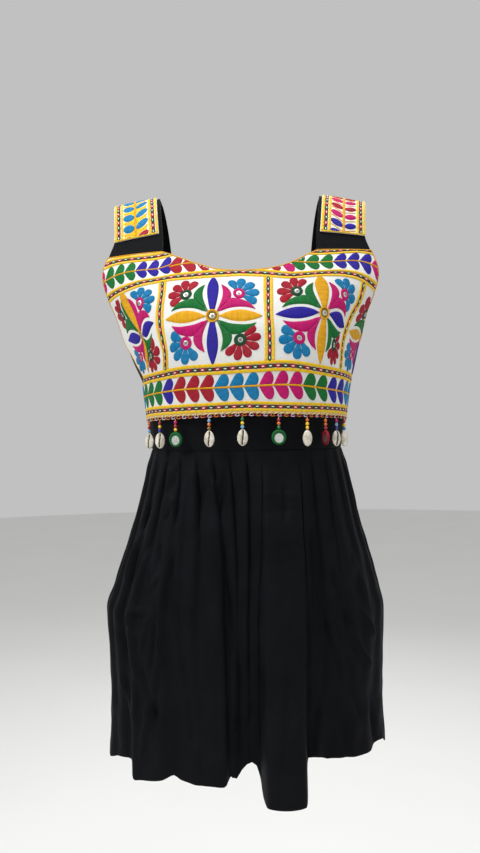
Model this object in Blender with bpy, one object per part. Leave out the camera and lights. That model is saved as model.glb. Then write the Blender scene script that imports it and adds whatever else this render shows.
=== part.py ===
"""Sleeveless tunic top: a black bodice with a pleated skirt, and an embroidered cropped front laid over it.

Metres, +Z up. The front faces -Y and +X is the right as seen from the front. The origin lies midway between
the undersides of the two straps, at the top of the shoulders.
"""

import functools
import math
from collections import namedtuple

import bmesh
import bpy
import numpy as np
from mathutils import Matrix, Vector

# Cloth and seams
GAP = 0.0003
BLACK_WALL = 0.0012
EMBROIDERED_WALL = 0.0016

# Heights of the seams and edges
WAIST_Z = -0.313
YOKE_TOP_Z = -0.074
FRONT_NECK_Z = -0.1055
BACK_NECK_Z = -0.083
NECK_ROUNDNESS = 2.6
SKIRT_HEM_Z = -0.688

# Straps
STRAP_SHARE = 0.407
SHOULDER_INNER_X = 0.1015
SHOULDER_OUTER_X = 0.159
SHOULDER_SLOPE = 0.011
STRAP_PULL_AT_INNER = 0.3
BAND_START = 0.23
BAND_INSET = 0.07

# Lattice sizes
CENTRE_COLUMNS_FRONT = 14
CENTRE_COLUMNS_BACK = 10
STRAP_COLUMNS = 8
STRAP_ROWS = 7
PANEL_LEVELS = (0.0, 0.12, 0.23, 0.34, 0.45, 0.55, 0.6, 0.66, 0.73, 0.82, 0.91, 1.0)
YOKE_MEETS_LEVEL = 0.55
YOKE_FREE_ROWS = 5
SKIRT_ROWS = 9
SKIRT_ROW_SPACING = 1.15
COLUMNS_A_PLEAT = 4
SECTION_SAMPLES = 181
CLOTH_SHARP_ANGLE = 60
TRIM_SHARP_ANGLE = 40

# Pleats: the same number in the front and in the back
PLEATS_A_HALF = 17
PLEAT_OFFSET = 0.5
BOX_PLEATS = (9, 11)
PLEAT_RISE = 0.75
FOLD_ROUNDING = 0.22
FOLD_GROWTH = 1.1
LINES_REACH_HEM_SHARE = 0.6
SHARE_STEP = 0.004

# Embroidered front: how its free lower part hangs off the bodice, and its hem
HANG_STARTS_Z = -0.160
HANG_ENDS_Z = -0.268
HANG_AT_FRONT = 0.0105
HANG_AT_SIDE = 0.0005
HANG_WHERE_SHORT = 0.010
YOKE_HEM_FRONT_Z = -0.2655
YOKE_HEM_SIDE_Z = -0.2740
YOKE_HEM_ROUNDNESS = 1.2

# Lace and danglers
LACE_DROP = 0.0055
LACE_WALL = 0.0022
BEAD_RADIUS = 0.0021
THREAD_RADIUS = 0.0007
BEADS_A_STRING = 3
BEAD_STRING_LENGTH = 0.0130
BEAD_SIDES = 6
SHELL_LENGTH = 0.0190
SHELL_WIDTH = 0.0122
SHELL_THICKNESS = 0.0070
SHELL_TAPER = 0.22
SHELL_SIDES = 8
SHELL_RINGS = 7
MIRROR_RADIUS = 0.0060
RING_RADIUS = 0.0086
RING_THICKNESS = 0.0032
RING_CREST_SHARE = 0.45
MIRROR_THICKNESS_SHARE = 0.6
MIRROR_SIDES = 12
PENDANT_STEPS_OUT = 0.0012

# Body form, from the waist seam up: sections of a general figure. centre is how far each sways to the right.
Section = namedtuple("Section", "z half_width front back squareness centre")
BODY = (
    Section(-0.313, 0.1185, 0.0900, 0.0760, 2.20, 0.0043),
    Section(-0.270, 0.1235, 0.0960, 0.0800, 2.25, 0.0050),
    Section(-0.235, 0.1280, 0.1040, 0.0860, 2.30, 0.0052),
    Section(-0.205, 0.1372, 0.1120, 0.0920, 2.35, 0.0026),
    Section(-0.175, 0.1470, 0.1155, 0.0970, 2.35, 0.0005),
    Section(-0.150, 0.1580, 0.1110, 0.0990, 2.30, 0.0000),
    Section(-0.125, 0.1760, 0.1010, 0.0980, 2.25, 0.0000),
    Section(-0.100, 0.1900, 0.0870, 0.0950, 2.25, 0.0000),
    Section(-0.074, 0.1970, 0.0700, 0.0890, 2.30, 0.0000),
)

# Skirt, from the hem up: the line of its valleys, before pleats and folds stand out from it
SKIRT = (
    Section(-0.720, 0.1750, 0.0700, 0.1120, 2.20, 0.0000),
    Section(-0.670, 0.1715, 0.0730, 0.1110, 2.20, 0.0000),
    Section(-0.620, 0.1695, 0.0760, 0.1090, 2.20, 0.0000),
    Section(-0.567, 0.1705, 0.0800, 0.1070, 2.20, 0.0000),
    Section(-0.515, 0.1720, 0.0840, 0.1040, 2.20, -0.0006),
    Section(-0.485, 0.1640, 0.0860, 0.1010, 2.20, 0.0008),
    Section(-0.433, 0.1475, 0.0900, 0.0940, 2.20, 0.0028),
    Section(-0.397, 0.1365, 0.0920, 0.0890, 2.20, 0.0034),
    Section(-0.355, 0.1268, 0.0920, 0.0830, 2.20, 0.0045),
    Section(-0.313, 0.1185, 0.0900, 0.0760, 2.20, 0.0043),
)

# Armhole: share of the way from centre to side seam where each panel's edge lies
ArmholeEdge = namedtuple("ArmholeEdge", "z front back")
ARMHOLE = (
    ArmholeEdge(-0.320, 1.000, 1.000),
    ArmholeEdge(-0.183, 1.000, 1.000),
    ArmholeEdge(-0.178, 0.960, 0.960),
    ArmholeEdge(-0.170, 0.895, 0.885),
    ArmholeEdge(-0.158, 0.835, 0.815),
    ArmholeEdge(-0.143, 0.795, 0.755),
    ArmholeEdge(-0.125, 0.770, 0.715),
    ArmholeEdge(-0.100, 0.757, 0.695),
    ArmholeEdge(-0.074, 0.712, 0.712),
)

# How far the embroidered front stops short of the bodice's edge, as a share of the half section
YokeEdge = namedtuple("YokeEdge", "z left right")
YOKE_SHORT = (
    YokeEdge(-0.280, 0.010, 0.010),
    YokeEdge(-0.255, 0.020, 0.010),
    YokeEdge(-0.238, 0.080, 0.012),
    YokeEdge(-0.215, 0.230, 0.014),
    YokeEdge(-0.192, 0.210, 0.014),
    YokeEdge(-0.168, 0.050, 0.008),
    YokeEdge(-0.140, 0.004, 0.004),
    YokeEdge(-0.074, 0.000, 0.000),
)

# Strap from the top of the embroidered front (along 0) over the shoulder seam (along 1). pull is how far its
# outer edge is drawn in.
StrapStep = namedtuple("StrapStep", "along depth height pull")
STRAP_PATH = (
    StrapStep(0.00, 1.00, 1.00, 0.0000),
    StrapStep(0.25, 0.90, 0.71, 0.0060),
    StrapStep(0.50, 0.74, 0.40, 0.0050),
    StrapStep(0.75, 0.44, 0.12, 0.0025),
    StrapStep(0.90, 0.19, 0.02, 0.0008),
    StrapStep(1.00, 0.00, 0.00, 0.0000),
    StrapStep(1.10, -0.19, 0.02, -0.0006),
)

# Pleats stand out this far at each share of the way down the skirt
PleatStep = namedtuple("PleatStep", "down height")
PLEAT_HEIGHT = (
    PleatStep(0.00, 0.0020),
    PleatStep(0.10, 0.0042),
    PleatStep(0.35, 0.0052),
    PleatStep(0.60, 0.0040),
    PleatStep(1.00, 0.0028),
)

# Large folds of a skirt panel. Left, right and edge are shares of the half section at the waist, and height
# and drop are reached at the hem.
Fold = namedtuple("Fold", "left right edge height drop")
FRONT_FOLDS = (
    Fold(-1.20, -0.85, 0.25, 0.0000, 0.011),
    Fold(-0.64, -0.25, 0.06, 0.0120, 0.017),
    Fold(-0.47, -0.38, 0.06, -0.0045, 0.000),
    Fold(-0.20, 0.09, 0.08, -0.0020, -0.006),
    Fold(0.1176, 0.3529, 0.05, 0.0420, 0.031),
    Fold(0.40, 0.95, 0.10, 0.0000, -0.008),
    Fold(0.55, 0.76, 0.10, 0.0100, 0.000),
)
BACK_FOLDS = (
    Fold(-0.78, -0.50, 0.09, 0.0110, 0.012),
    Fold(-0.32, -0.10, 0.06, 0.0140, 0.008),
    Fold(0.06, 0.40, 0.07, 0.0220, 0.018),
    Fold(0.55, 0.80, 0.10, 0.0120, 0.006),
)

# Where lines that start at the waist arrive at the hem, so that columns of points follow the folds
FoldLine = namedtuple("FoldLine", "waist hem")
FRONT_LINES = (
    FoldLine(-1.0, -1.0),
    FoldLine(-0.62, -0.66),
    FoldLine(-0.27, -0.12),
    FoldLine(0.1176, 0.095),
    FoldLine(0.3529, 0.33),
    FoldLine(1.0, 1.0),
)
BACK_LINES = (
    FoldLine(-1.0, -1.0),
    FoldLine(-0.32, -0.30),
    FoldLine(0.06, 0.02),
    FoldLine(0.40, 0.45),
    FoldLine(1.0, 1.0),
)

# Danglers along the lace, from left to right: share of the half section, and the turn away from facing out
Dangler = namedtuple("Dangler", "kind share turn")
DANGLERS = (
    Dangler("shell", -0.76, 12),
    Dangler("shell", -0.60, -8),
    Dangler("mirror", -0.455, 6),
    Dangler("shell", -0.225, 0),
    Dangler("shell", -0.022, 0),
    Dangler("mirror", 0.198, 4),
    Dangler("shell", 0.382, 180),
    Dangler("mirror", 0.525, 68),
    Dangler("shell", 0.635, -20),
    Dangler("shell", 0.76, 160),
)

# Materials: colour, roughness and metallic value
Finish = namedtuple("Finish", "colour roughness metallic")
FINISHES = {
    "black_cloth": Finish((0.012, 0.013, 0.017), 0.85, 0.0),
    "embroidered_cloth": Finish((0.80, 0.62, 0.30), 0.55, 0.0),
    "lace": Finish((0.45, 0.10, 0.16), 0.70, 0.0),
    "beads": Finish((0.55, 0.42, 0.12), 0.30, 0.0),
    "shell": Finish((0.70, 0.66, 0.56), 0.35, 0.0),
    "mirror": Finish((0.62, 0.66, 0.60), 0.15, 0.9),
}


def clear_scene():
    for thing in list(bpy.data.objects):
        bpy.data.objects.remove(thing, do_unlink=True)


def material(name):
    finish = FINISHES[name]
    made = bpy.data.materials.get(name) or bpy.data.materials.new(name)
    made.use_nodes = True
    shader = made.node_tree.nodes["Principled BSDF"]
    shader.inputs["Base Color"].default_value = (*finish.colour, 1.0)
    shader.inputs["Roughness"].default_value = finish.roughness
    shader.inputs["Metallic"].default_value = finish.metallic
    return made


def lerp(low, high, share):
    return low + (high - low) * share


def ease(share):
    share = min(max(share, 0.0), 1.0)
    return share * share * (3.0 - 2.0 * share)


def smooth_lookup(rows, column, at):
    """Value of a column at a place between rows, on a smooth curve. The first column holds the places."""
    places = [row[0] for row in rows]
    values = [getattr(row, column) for row in rows]
    if places[0] > places[-1]:
        places.reverse()
        values.reverse()
    at = min(max(at, places[0]), places[-1])
    index = min(max(np.searchsorted(places, at) - 1, 0), len(places) - 2)
    slopes = [(values[i + 1] - values[i]) / (places[i + 1] - places[i]) for i in range(len(places) - 1)]

    def slope_at(i):
        if i in (0, len(places) - 1):
            return slopes[min(i, len(slopes) - 1)]
        before, after = slopes[i - 1], slopes[i]
        return 0.0 if before * after <= 0 else 2.0 * before * after / (before + after)

    width = places[index + 1] - places[index]
    t = (at - places[index]) / width
    return (
        values[index] * (2 * t**3 - 3 * t**2 + 1)
        + slope_at(index) * width * (t**3 - 2 * t**2 + t)
        + values[index + 1] * (3 * t**2 - 2 * t**3)
        + slope_at(index + 1) * width * (t**3 - t**2)
    )


@functools.lru_cache(maxsize=None)
def half_section(table, z, back):
    """Quarter outline of a section from the centre to the side seam: x, depth, and share of its length."""
    half_width = smooth_lookup(table, "half_width", z)
    depth = smooth_lookup(table, "back" if back else "front", z)
    squareness = smooth_lookup(table, "squareness", z)
    turn = np.radians(np.linspace(0.0, 90.0, SECTION_SAMPLES))
    x = half_width * np.abs(np.sin(turn)) ** (2.0 / squareness)
    d = depth * np.abs(np.cos(turn)) ** (2.0 / squareness)
    d[-1] = 0.0
    length = np.concatenate([[0.0], np.cumsum(np.hypot(np.diff(x), np.diff(d)))])
    return x, d, length / length[-1], length[-1]


def form_point(table, z, share, back=False):
    """Point on a form, a share of the way from the centre to the side seam, positive to the panel's right."""
    x, d, shares, length = half_section(table, round(z, 6), back)
    reach = min(abs(share), 1.0 - GAP / 2 / length)
    across = math.copysign(np.interp(reach, shares, x), share)
    depth = np.interp(reach, shares, d)
    centre = smooth_lookup(table, "centre", z)
    return np.array([centre - across, depth, z] if back else [centre + across, -depth, z])


def strap_point(side, across, along):
    """Point on a strap: across 0 inner to 1 outer edge, along 0 front, 1 shoulder seam, 2 back."""
    back = along > 1.0
    w = 2.0 - along if back else along
    edge = smooth_lookup(ARMHOLE, "back" if back else "front", YOKE_TOP_Z)
    start = form_point(BODY, YOKE_TOP_Z, lerp(STRAP_SHARE, edge, across), back)
    x = lerp(abs(start[0]), lerp(SHOULDER_INNER_X, SHOULDER_OUTER_X, across), w)
    x -= smooth_lookup(STRAP_PATH, "pull", w) * lerp(STRAP_PULL_AT_INNER, 1.0, across)
    y = start[1] * smooth_lookup(STRAP_PATH, "depth", w)
    z = YOKE_TOP_Z * smooth_lookup(STRAP_PATH, "height", w) + SHOULDER_SLOPE * (0.5 - across) * w
    return np.array([side * x, y, z])


def panel_top(across, back):
    """Height of a bodice panel's neck edge, or of its straps' roots."""
    neck = BACK_NECK_Z if back else FRONT_NECK_Z
    return lerp(neck, YOKE_TOP_Z, min(abs(across), 1.0) ** NECK_ROUNDNESS)


def panel_share(across, edge):
    """Share of the half section at a column: 0 to 1 across the neck, 1 to 2 across a strap."""
    if abs(across) <= 1.0:
        return across * STRAP_SHARE
    return math.copysign(lerp(STRAP_SHARE, edge, abs(across) - 1.0), across)


def panel_point(across, level, back=False):
    """Point on a bodice panel: level 0 at the waist seam and 1 at the neck edge or the straps' roots."""
    z = lerp(WAIST_Z, panel_top(across, back), level)
    edge = smooth_lookup(ARMHOLE, "back" if back else "front", z)
    return form_point(BODY, z, panel_share(across, edge), back)


def panel_columns(centre_columns):
    straps = [1.0 + (i + 1) / STRAP_COLUMNS for i in range(STRAP_COLUMNS)]
    centre = [-1.0 + 2.0 * i / centre_columns for i in range(centre_columns + 1)]
    return [-place for place in reversed(straps)] + centre + straps


def normals_of(lattice):
    """Outward unit normals of a lattice whose columns run to its right and whose rows run up."""

    def change(axis):
        step = np.diff(lattice, axis=axis)
        pad = np.full_like(np.take(lattice, [0], axis=axis), np.nan)
        both = np.stack([np.concatenate([step, pad], axis), np.concatenate([pad, step], axis)])
        there = ~np.isnan(both)
        return np.where(there, both, 0.0).sum(0) / np.maximum(there.sum(0), 1)

    normals = np.cross(change(1), change(0))
    return normals / np.maximum(np.linalg.norm(normals, axis=2, keepdims=True), 1e-12)


def outer_face(lattice, wall, waist_row, whole_sides=False):
    """The lattice moved out by the wall. It stays square at the waist and side seams, where panels meet."""
    outer = lattice + wall * normals_of(lattice)
    outer[waist_row, :, 2] = lattice[waist_row, :, 2]
    if whole_sides:
        outer[:, [0, -1], 1] = lattice[:, [0, -1], 1]
    return outer


def closed_wall(name, inner, outer, finish):
    """Closed solid between two lattices of points. A point that is not a number is left out of both."""
    there = ~np.isnan(inner[:, :, 0])
    rows, columns = there.shape
    bm = bmesh.new()
    faces = {}
    for key, lattice in (("inner", inner), ("outer", outer)):
        faces[key] = {
            (r, c): bm.verts.new(lattice[r, c]) for r in range(rows) for c in range(columns) if there[r, c]
        }
    edges = set()
    for r in range(rows - 1):
        for c in range(columns - 1):
            corners = [(r, c), (r, c + 1), (r + 1, c + 1), (r + 1, c)]
            if not all(corner in faces["outer"] for corner in corners):
                continue
            for half in (corners[:3], [corners[0], corners[2], corners[3]]):
                bm.faces.new([faces["outer"][corner] for corner in half])
                bm.faces.new([faces["inner"][corner] for corner in reversed(half)])
            edges.update(zip(corners, corners[1:] + corners[:1]))
    for start, end in sorted(edges):
        if (end, start) not in edges:
            ring = (faces["outer"][end], faces["outer"][start], faces["inner"][start], faces["inner"][end])
            bm.faces.new(ring)
    return finish_object(name, bm, finish, CLOTH_SHARP_ANGLE)


def finish_object(name, bm, finish, sharp_angle=TRIM_SHARP_ANGLE):
    mesh = bpy.data.meshes.new(name)
    bm.to_mesh(mesh)
    bm.free()
    mesh.shade_smooth()
    mesh.set_sharp_from_angle(angle=math.radians(sharp_angle))
    thing = bpy.data.objects.new(name, mesh)
    bpy.context.scene.collection.objects.link(thing)
    thing.data.materials.append(material(finish))
    return thing


def make_bodice_panel(name, back):
    """Black bodice panel with half of each strap."""
    columns = panel_columns(CENTRE_COLUMNS_BACK if back else CENTRE_COLUMNS_FRONT)
    body = [[panel_point(across, level, back) for across in columns] for level in PANEL_LEVELS]
    straps = []
    seam_end = 1.0 - GAP / 2 / abs(YOKE_TOP_Z)
    for row in range(1, STRAP_ROWS + 1):
        along = min(row / STRAP_ROWS, seam_end)
        line = []
        for across in columns:
            if abs(across) < 1.0:
                line.append(np.full(3, np.nan))
                continue
            side = math.copysign(1.0, -across if back else across)
            line.append(strap_point(side, abs(across) - 1.0, 2.0 - along if back else along))
        straps.append(line)
    lattice = np.array(body + straps)
    closed_wall(name, lattice, outer_face(lattice, BLACK_WALL, 0), "black_cloth")


def yoke_hang(z, share):
    """How far the embroidered front's free lower part hangs off the bodice."""
    lower = ease((HANG_STARTS_Z - z) / (HANG_STARTS_Z - HANG_ENDS_Z))
    frontal = math.cos(math.radians(90.0) * min(abs(share), 1.0)) ** 2
    return lower * lerp(HANG_AT_SIDE, HANG_AT_FRONT, frontal)


def yoke_point(across, level):
    """Point of the bodice under the embroidered front, and how far the cloth hangs off it there."""
    z = lerp(WAIST_Z, panel_top(across, False), level)
    short = smooth_lookup(YOKE_SHORT, "left" if across < 0 else "right", z)
    edge = smooth_lookup(ARMHOLE, "front", z) - short
    share = panel_share(across, edge)
    lift = HANG_WHERE_SHORT * short * max(abs(across) - 1.0, 0.0)
    return form_point(BODY, z, share), yoke_hang(z, share) + lift


def yoke_levels(across):
    """Levels of the embroidered front from its hem up. The upper ones are those of the bodice."""
    around = abs(panel_share(across, 1.0)) ** YOKE_HEM_ROUNDNESS
    hem_z = lerp(YOKE_HEM_FRONT_Z, YOKE_HEM_SIDE_Z, around)
    hem = (hem_z - WAIST_Z) / (panel_top(across, False) - WAIST_Z)
    free = [lerp(hem, YOKE_MEETS_LEVEL, i / YOKE_FREE_ROWS) for i in range(YOKE_FREE_ROWS)]
    return free + [level for level in PANEL_LEVELS if level >= YOKE_MEETS_LEVEL]


def make_yoke_front():
    """Embroidered front. Returns the middle of its hem as points and outward normals, for the lace."""
    columns = panel_columns(CENTRE_COLUMNS_FRONT)
    pairs = [[yoke_point(across, level) for level in yoke_levels(across)] for across in columns]
    lattice = np.array([[pair[0] for pair in column] for column in pairs]).transpose(1, 0, 2)
    hang = np.array([[pair[1] for pair in column] for column in pairs]).T[:, :, None]
    normals = normals_of(lattice)
    inner = lattice + normals * (BLACK_WALL + GAP + hang)
    outer = inner + normals * EMBROIDERED_WALL
    closed_wall("yoke_front", inner, outer, "embroidered_cloth")
    shares = np.array([panel_share(across, 1.0) for across in columns])
    hem = (inner[0] + outer[0]) / 2
    hem[:, 2] = np.minimum(inner[0, :, 2], outer[0, :, 2])
    out = normals[0] * (1.0, 1.0, 0.0)
    return shares, hem, out / np.linalg.norm(out, axis=1, keepdims=True)


def make_strap_band(name, side):
    """Embroidered band that lies on a strap from its front over the shoulder to the back."""
    columns = [lerp(BAND_INSET, 1.0, i / STRAP_COLUMNS) for i in range(STRAP_COLUMNS + 1)]
    if side < 0:
        columns.reverse()
    ends = (BAND_START, 2.0 - BAND_START)
    between = [row / STRAP_ROWS for row in range(2 * STRAP_ROWS + 1) if ends[0] < row / STRAP_ROWS < ends[1]]
    steps = [ends[0], *between, ends[1]]
    lattice = np.array([[strap_point(side, across, along) for across in columns] for along in steps])
    normals = normals_of(lattice)
    inner = lattice + normals * (BLACK_WALL + GAP)
    closed_wall(name, inner, inner + normals * EMBROIDERED_WALL, "embroidered_cloth")


def knife_pleat(phase, toward):
    """Height of a pleat from 0 to 1, rising slowly to a fold edge and dropping behind it."""
    place = phase % 1.0
    if toward < 0:
        place = (1.0 - place) % 1.0
    return place / PLEAT_RISE if place <= PLEAT_RISE else (1.0 - place) / (1.0 - PLEAT_RISE)


def plateau(place, fold):
    """1 between a fold's two lines and 0 outside, with soft edges."""
    return ease((place - fold.left) / fold.edge + 0.5) * ease((fold.right - place) / fold.edge + 0.5)


def crown(place, fold):
    """A plateau whose top is rounded towards its edges."""
    offset = (place - (fold.left + fold.right) / 2) / (fold.right - fold.left) * 2.0
    return plateau(place, fold) * (1.0 - FOLD_ROUNDING * offset * offset)


def skirt_point(column, down, back):
    """Point on the skirt: column is a share of the half section at the waist, down runs from waist to hem."""
    folds = BACK_FOLDS if back else FRONT_FOLDS
    lines = BACK_LINES if back else FRONT_LINES
    at_hem = np.interp(column, [line.waist for line in lines], [line.hem for line in lines])
    spread = math.sin(math.radians(90.0) * min(down / LINES_REACH_HEM_SHARE, 1.0))
    share = lerp(column, at_hem, spread)
    drop = sum(fold.drop * plateau(column, fold) for fold in folds)
    z = lerp(WAIST_Z - GAP, SKIRT_HEM_Z - drop, down)
    phase = (column + 1.0) / 2.0 * PLEATS_A_HALF - PLEAT_OFFSET
    in_box = not back and BOX_PLEATS[0] <= phase <= BOX_PLEATS[1]
    toward = -1 if phase > BOX_PLEATS[0] else 1
    pleat = 1.0 if in_box else knife_pleat(phase, toward)
    out = pleat * smooth_lookup(PLEAT_HEIGHT, "height", down)
    out += sum(fold.height * crown(column, fold) for fold in folds) * down**FOLD_GROWTH
    before = form_point(SKIRT, z, max(share - SHARE_STEP, -1.0), back)
    after = form_point(SKIRT, z, min(share + SHARE_STEP, 1.0), back)
    along = after - before
    outward = np.array([along[1], -along[0], 0.0])
    return form_point(SKIRT, z, share, back) + outward / np.linalg.norm(outward) * out


def make_skirt_panel(name, back):
    count = PLEATS_A_HALF * COLUMNS_A_PLEAT
    columns = [-1.0 + 2.0 * i / count for i in range(count + 1)]
    rows = [1.0 - (i / SKIRT_ROWS) ** SKIRT_ROW_SPACING for i in range(SKIRT_ROWS + 1)]
    lattice = np.array([[skirt_point(column, down, back) for column in columns] for down in rows])
    closed_wall(name, lattice, outer_face(lattice, BLACK_WALL, -1, whole_sides=True), "black_cloth")


def make_hem_lace(hem, out):
    """Narrow lace under the embroidered front's hem. Returns the middle line of its lower edge."""
    low, high = np.array([0.0, 0.0, -GAP - LACE_DROP]), np.array([0.0, 0.0, -GAP])
    middle = np.array([hem + low, hem + high])
    inner = middle - out * LACE_WALL / 2
    closed_wall("hem_lace", inner, middle + out * LACE_WALL / 2, "lace")
    return hem + low


def turned(bm, profile, sides, place):
    """Closed turned body about its own Z axis, from (radius, height) pairs given top to bottom."""
    rings = []
    for radius, height in profile:
        angles = [2.0 * math.pi * i / sides for i in range(sides)]
        spots = [Vector((radius * math.cos(a), radius * math.sin(a), height)) for a in angles]
        rings.append([bm.verts.new(place @ spot) for spot in spots])
    for above, below in zip(rings, rings[1:]):
        for i in range(sides):
            j = (i + 1) % sides
            bm.faces.new((above[i], below[i], below[j], above[j]))
    bm.faces.new(rings[0])
    bm.faces.new(list(reversed(rings[-1])))


def make_bead_string(name, top):
    profile = [(THREAD_RADIUS, 0.0)]
    pitch = BEAD_STRING_LENGTH / BEADS_A_STRING
    for bead in range(BEADS_A_STRING):
        profile.append((BEAD_RADIUS, -(bead + 0.5) * pitch))
        profile.append((THREAD_RADIUS, -(bead + 1.0) * pitch))
    bm = bmesh.new()
    turned(bm, profile, BEAD_SIDES, Matrix.Translation(top))
    finish_object(name, bm, "beads")


def make_shell(name, place):
    """Cowrie: an egg flattened towards its slit face, narrow end down."""
    bm = bmesh.new()
    bmesh.ops.create_uvsphere(bm, u_segments=SHELL_SIDES, v_segments=SHELL_RINGS, radius=0.5)
    for vert in bm.verts:
        narrow = 1.0 + SHELL_TAPER * vert.co.z
        x, y, z = vert.co
        vert.co = (x * SHELL_WIDTH * narrow, y * SHELL_THICKNESS * narrow, z * SHELL_LENGTH)
    bm.transform(place @ Matrix.Translation((0.0, 0.0, -SHELL_LENGTH / 2)))
    finish_object(name, bm, "shell")


def make_mirror(name, place):
    """Round mirror in a ring of thread, facing out along the place's -Y."""
    half = RING_THICKNESS / 2
    crest = lerp(MIRROR_RADIUS, RING_RADIUS, RING_CREST_SHARE)
    profile = (
        (MIRROR_RADIUS, half * MIRROR_THICKNESS_SHARE),
        (crest, half),
        (RING_RADIUS, 0.0),
        (crest, -half),
        (MIRROR_RADIUS, -half * MIRROR_THICKNESS_SHARE),
    )
    bm = bmesh.new()
    face_out = Matrix.Translation((0.0, 0.0, -RING_RADIUS)) @ Matrix.Rotation(math.radians(90.0), 4, "X")
    turned(bm, profile, MIRROR_SIDES, place @ face_out)
    finish_object(name, bm, "mirror")


def make_danglers(shares, lower_edge, out):
    """Bead strings hung from the lace, each with its shell or mirror below."""
    for number, dangler in enumerate(DANGLERS, start=1):
        spot = Vector([np.interp(dangler.share, shares, lower_edge[:, axis]) for axis in range(3)])
        facing = Vector([np.interp(dangler.share, shares, out[:, axis]) for axis in range(3)])
        facing.normalize()
        top = spot + facing * PENDANT_STEPS_OUT + Vector((0.0, 0.0, -GAP))
        make_bead_string(f"bead_string_{number:02d}", top)
        turn = math.atan2(facing.x, -facing.y) + math.radians(dangler.turn)
        below = top + Vector((0.0, 0.0, -BEAD_STRING_LENGTH - GAP))
        place = Matrix.Translation(below) @ Matrix.Rotation(turn, 4, "Z")
        if dangler.kind == "shell":
            make_shell(f"shell_{number:02d}", place)
        else:
            make_mirror(f"mirror_{number:02d}", place)


def main():
    clear_scene()
    make_bodice_panel("bodice_front", back=False)
    make_bodice_panel("bodice_back", back=True)
    make_skirt_panel("skirt_front", back=False)
    make_skirt_panel("skirt_back", back=True)
    shares, hem, out = make_yoke_front()
    make_strap_band("strap_band_left", side=-1.0)
    make_strap_band("strap_band_right", side=1.0)
    lower_edge = make_hem_lace(hem, out)
    make_danglers(shares, lower_edge, out)


main()
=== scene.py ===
"""Looks of a sleeveless pleated tunic top with an embroidered cropped front, made around its solids.

Metres, +Z up, the front faces -Y. Cloth shells repeat the solids' sections with finer pleats and creases.
The embroidery is laid out flat, across from the centre front and up from the hem, and mapped onto the cloth.
"""

import math
from collections import namedtuple

import bmesh
import bpy
import numpy as np
from mathutils import Matrix, Vector


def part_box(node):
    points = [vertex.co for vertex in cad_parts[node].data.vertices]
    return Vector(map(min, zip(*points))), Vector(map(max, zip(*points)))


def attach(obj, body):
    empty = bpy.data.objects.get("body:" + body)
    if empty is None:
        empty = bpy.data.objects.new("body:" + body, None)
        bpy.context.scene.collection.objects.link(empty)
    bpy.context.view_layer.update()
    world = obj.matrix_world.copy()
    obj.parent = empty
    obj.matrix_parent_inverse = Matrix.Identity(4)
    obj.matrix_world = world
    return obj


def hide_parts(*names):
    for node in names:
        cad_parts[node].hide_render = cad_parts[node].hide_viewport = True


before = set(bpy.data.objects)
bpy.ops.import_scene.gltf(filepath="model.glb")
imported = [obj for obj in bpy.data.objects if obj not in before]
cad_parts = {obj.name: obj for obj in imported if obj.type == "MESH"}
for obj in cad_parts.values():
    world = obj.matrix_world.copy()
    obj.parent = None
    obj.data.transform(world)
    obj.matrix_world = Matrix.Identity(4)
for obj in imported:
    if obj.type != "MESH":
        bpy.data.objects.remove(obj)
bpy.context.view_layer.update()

MM = 0.001
TINY = 1e-9
CREASE_END = 0.3
CREASE_PAST = 0.15
RIPPLE_WANDER = 1.7
RIPPLE_WANDERS_A_METRE = 40.0


def table(columns, *rows):
    """Rows of a table with named columns."""
    row_kind = namedtuple("Row", columns)
    return tuple(row_kind(*row) for row in rows)



# Cloth walls, gaps and edges. Seams are narrower than in the solids, so that no light shows through
GAP = 0.0003
SEAM_GAP = 0.00003
BLACK_WALL = 0.0012
EMBROIDERED_WALL = 0.0010
WAIST_Z = -0.313
YOKE_TOP_Z = -0.074
FRONT_NECK_Z = -0.1055
BACK_NECK_Z = -0.083
NECK_ROUNDNESS = 2.6
SKIRT_HEM_Z = -0.688

# Straps, as in the solids
STRAP_SHARE = 0.407
SHOULDER_INNER_X = 0.1015
SHOULDER_OUTER_X = 0.159
SHOULDER_SLOPE = 0.011
STRAP_PULL_AT_INNER = 0.3
BAND_START = 0.23
BAND_INSET = 0.07

# Pleats: numbers and places as in the solids
PLEATS_A_HALF = 17
PLEAT_OFFSET = 0.5
BOX_PLEATS = (9, 11)
FOLD_ROUNDING = 0.22
FOLD_GROWTH = 1.1
LINES_REACH_HEM_SHARE = 0.6
SHARE_STEP = 0.004

# Embroidered front's hang and hem
HANG_STARTS_Z = -0.160
HANG_ENDS_Z = -0.268
HANG_AT_FRONT = 0.0105
HANG_AT_SIDE = 0.0005
YOKE_HEM_FRONT_Z = -0.2655
YOKE_HEM_SIDE_Z = -0.2740
YOKE_HEM_ROUNDNESS = 1.2

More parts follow.
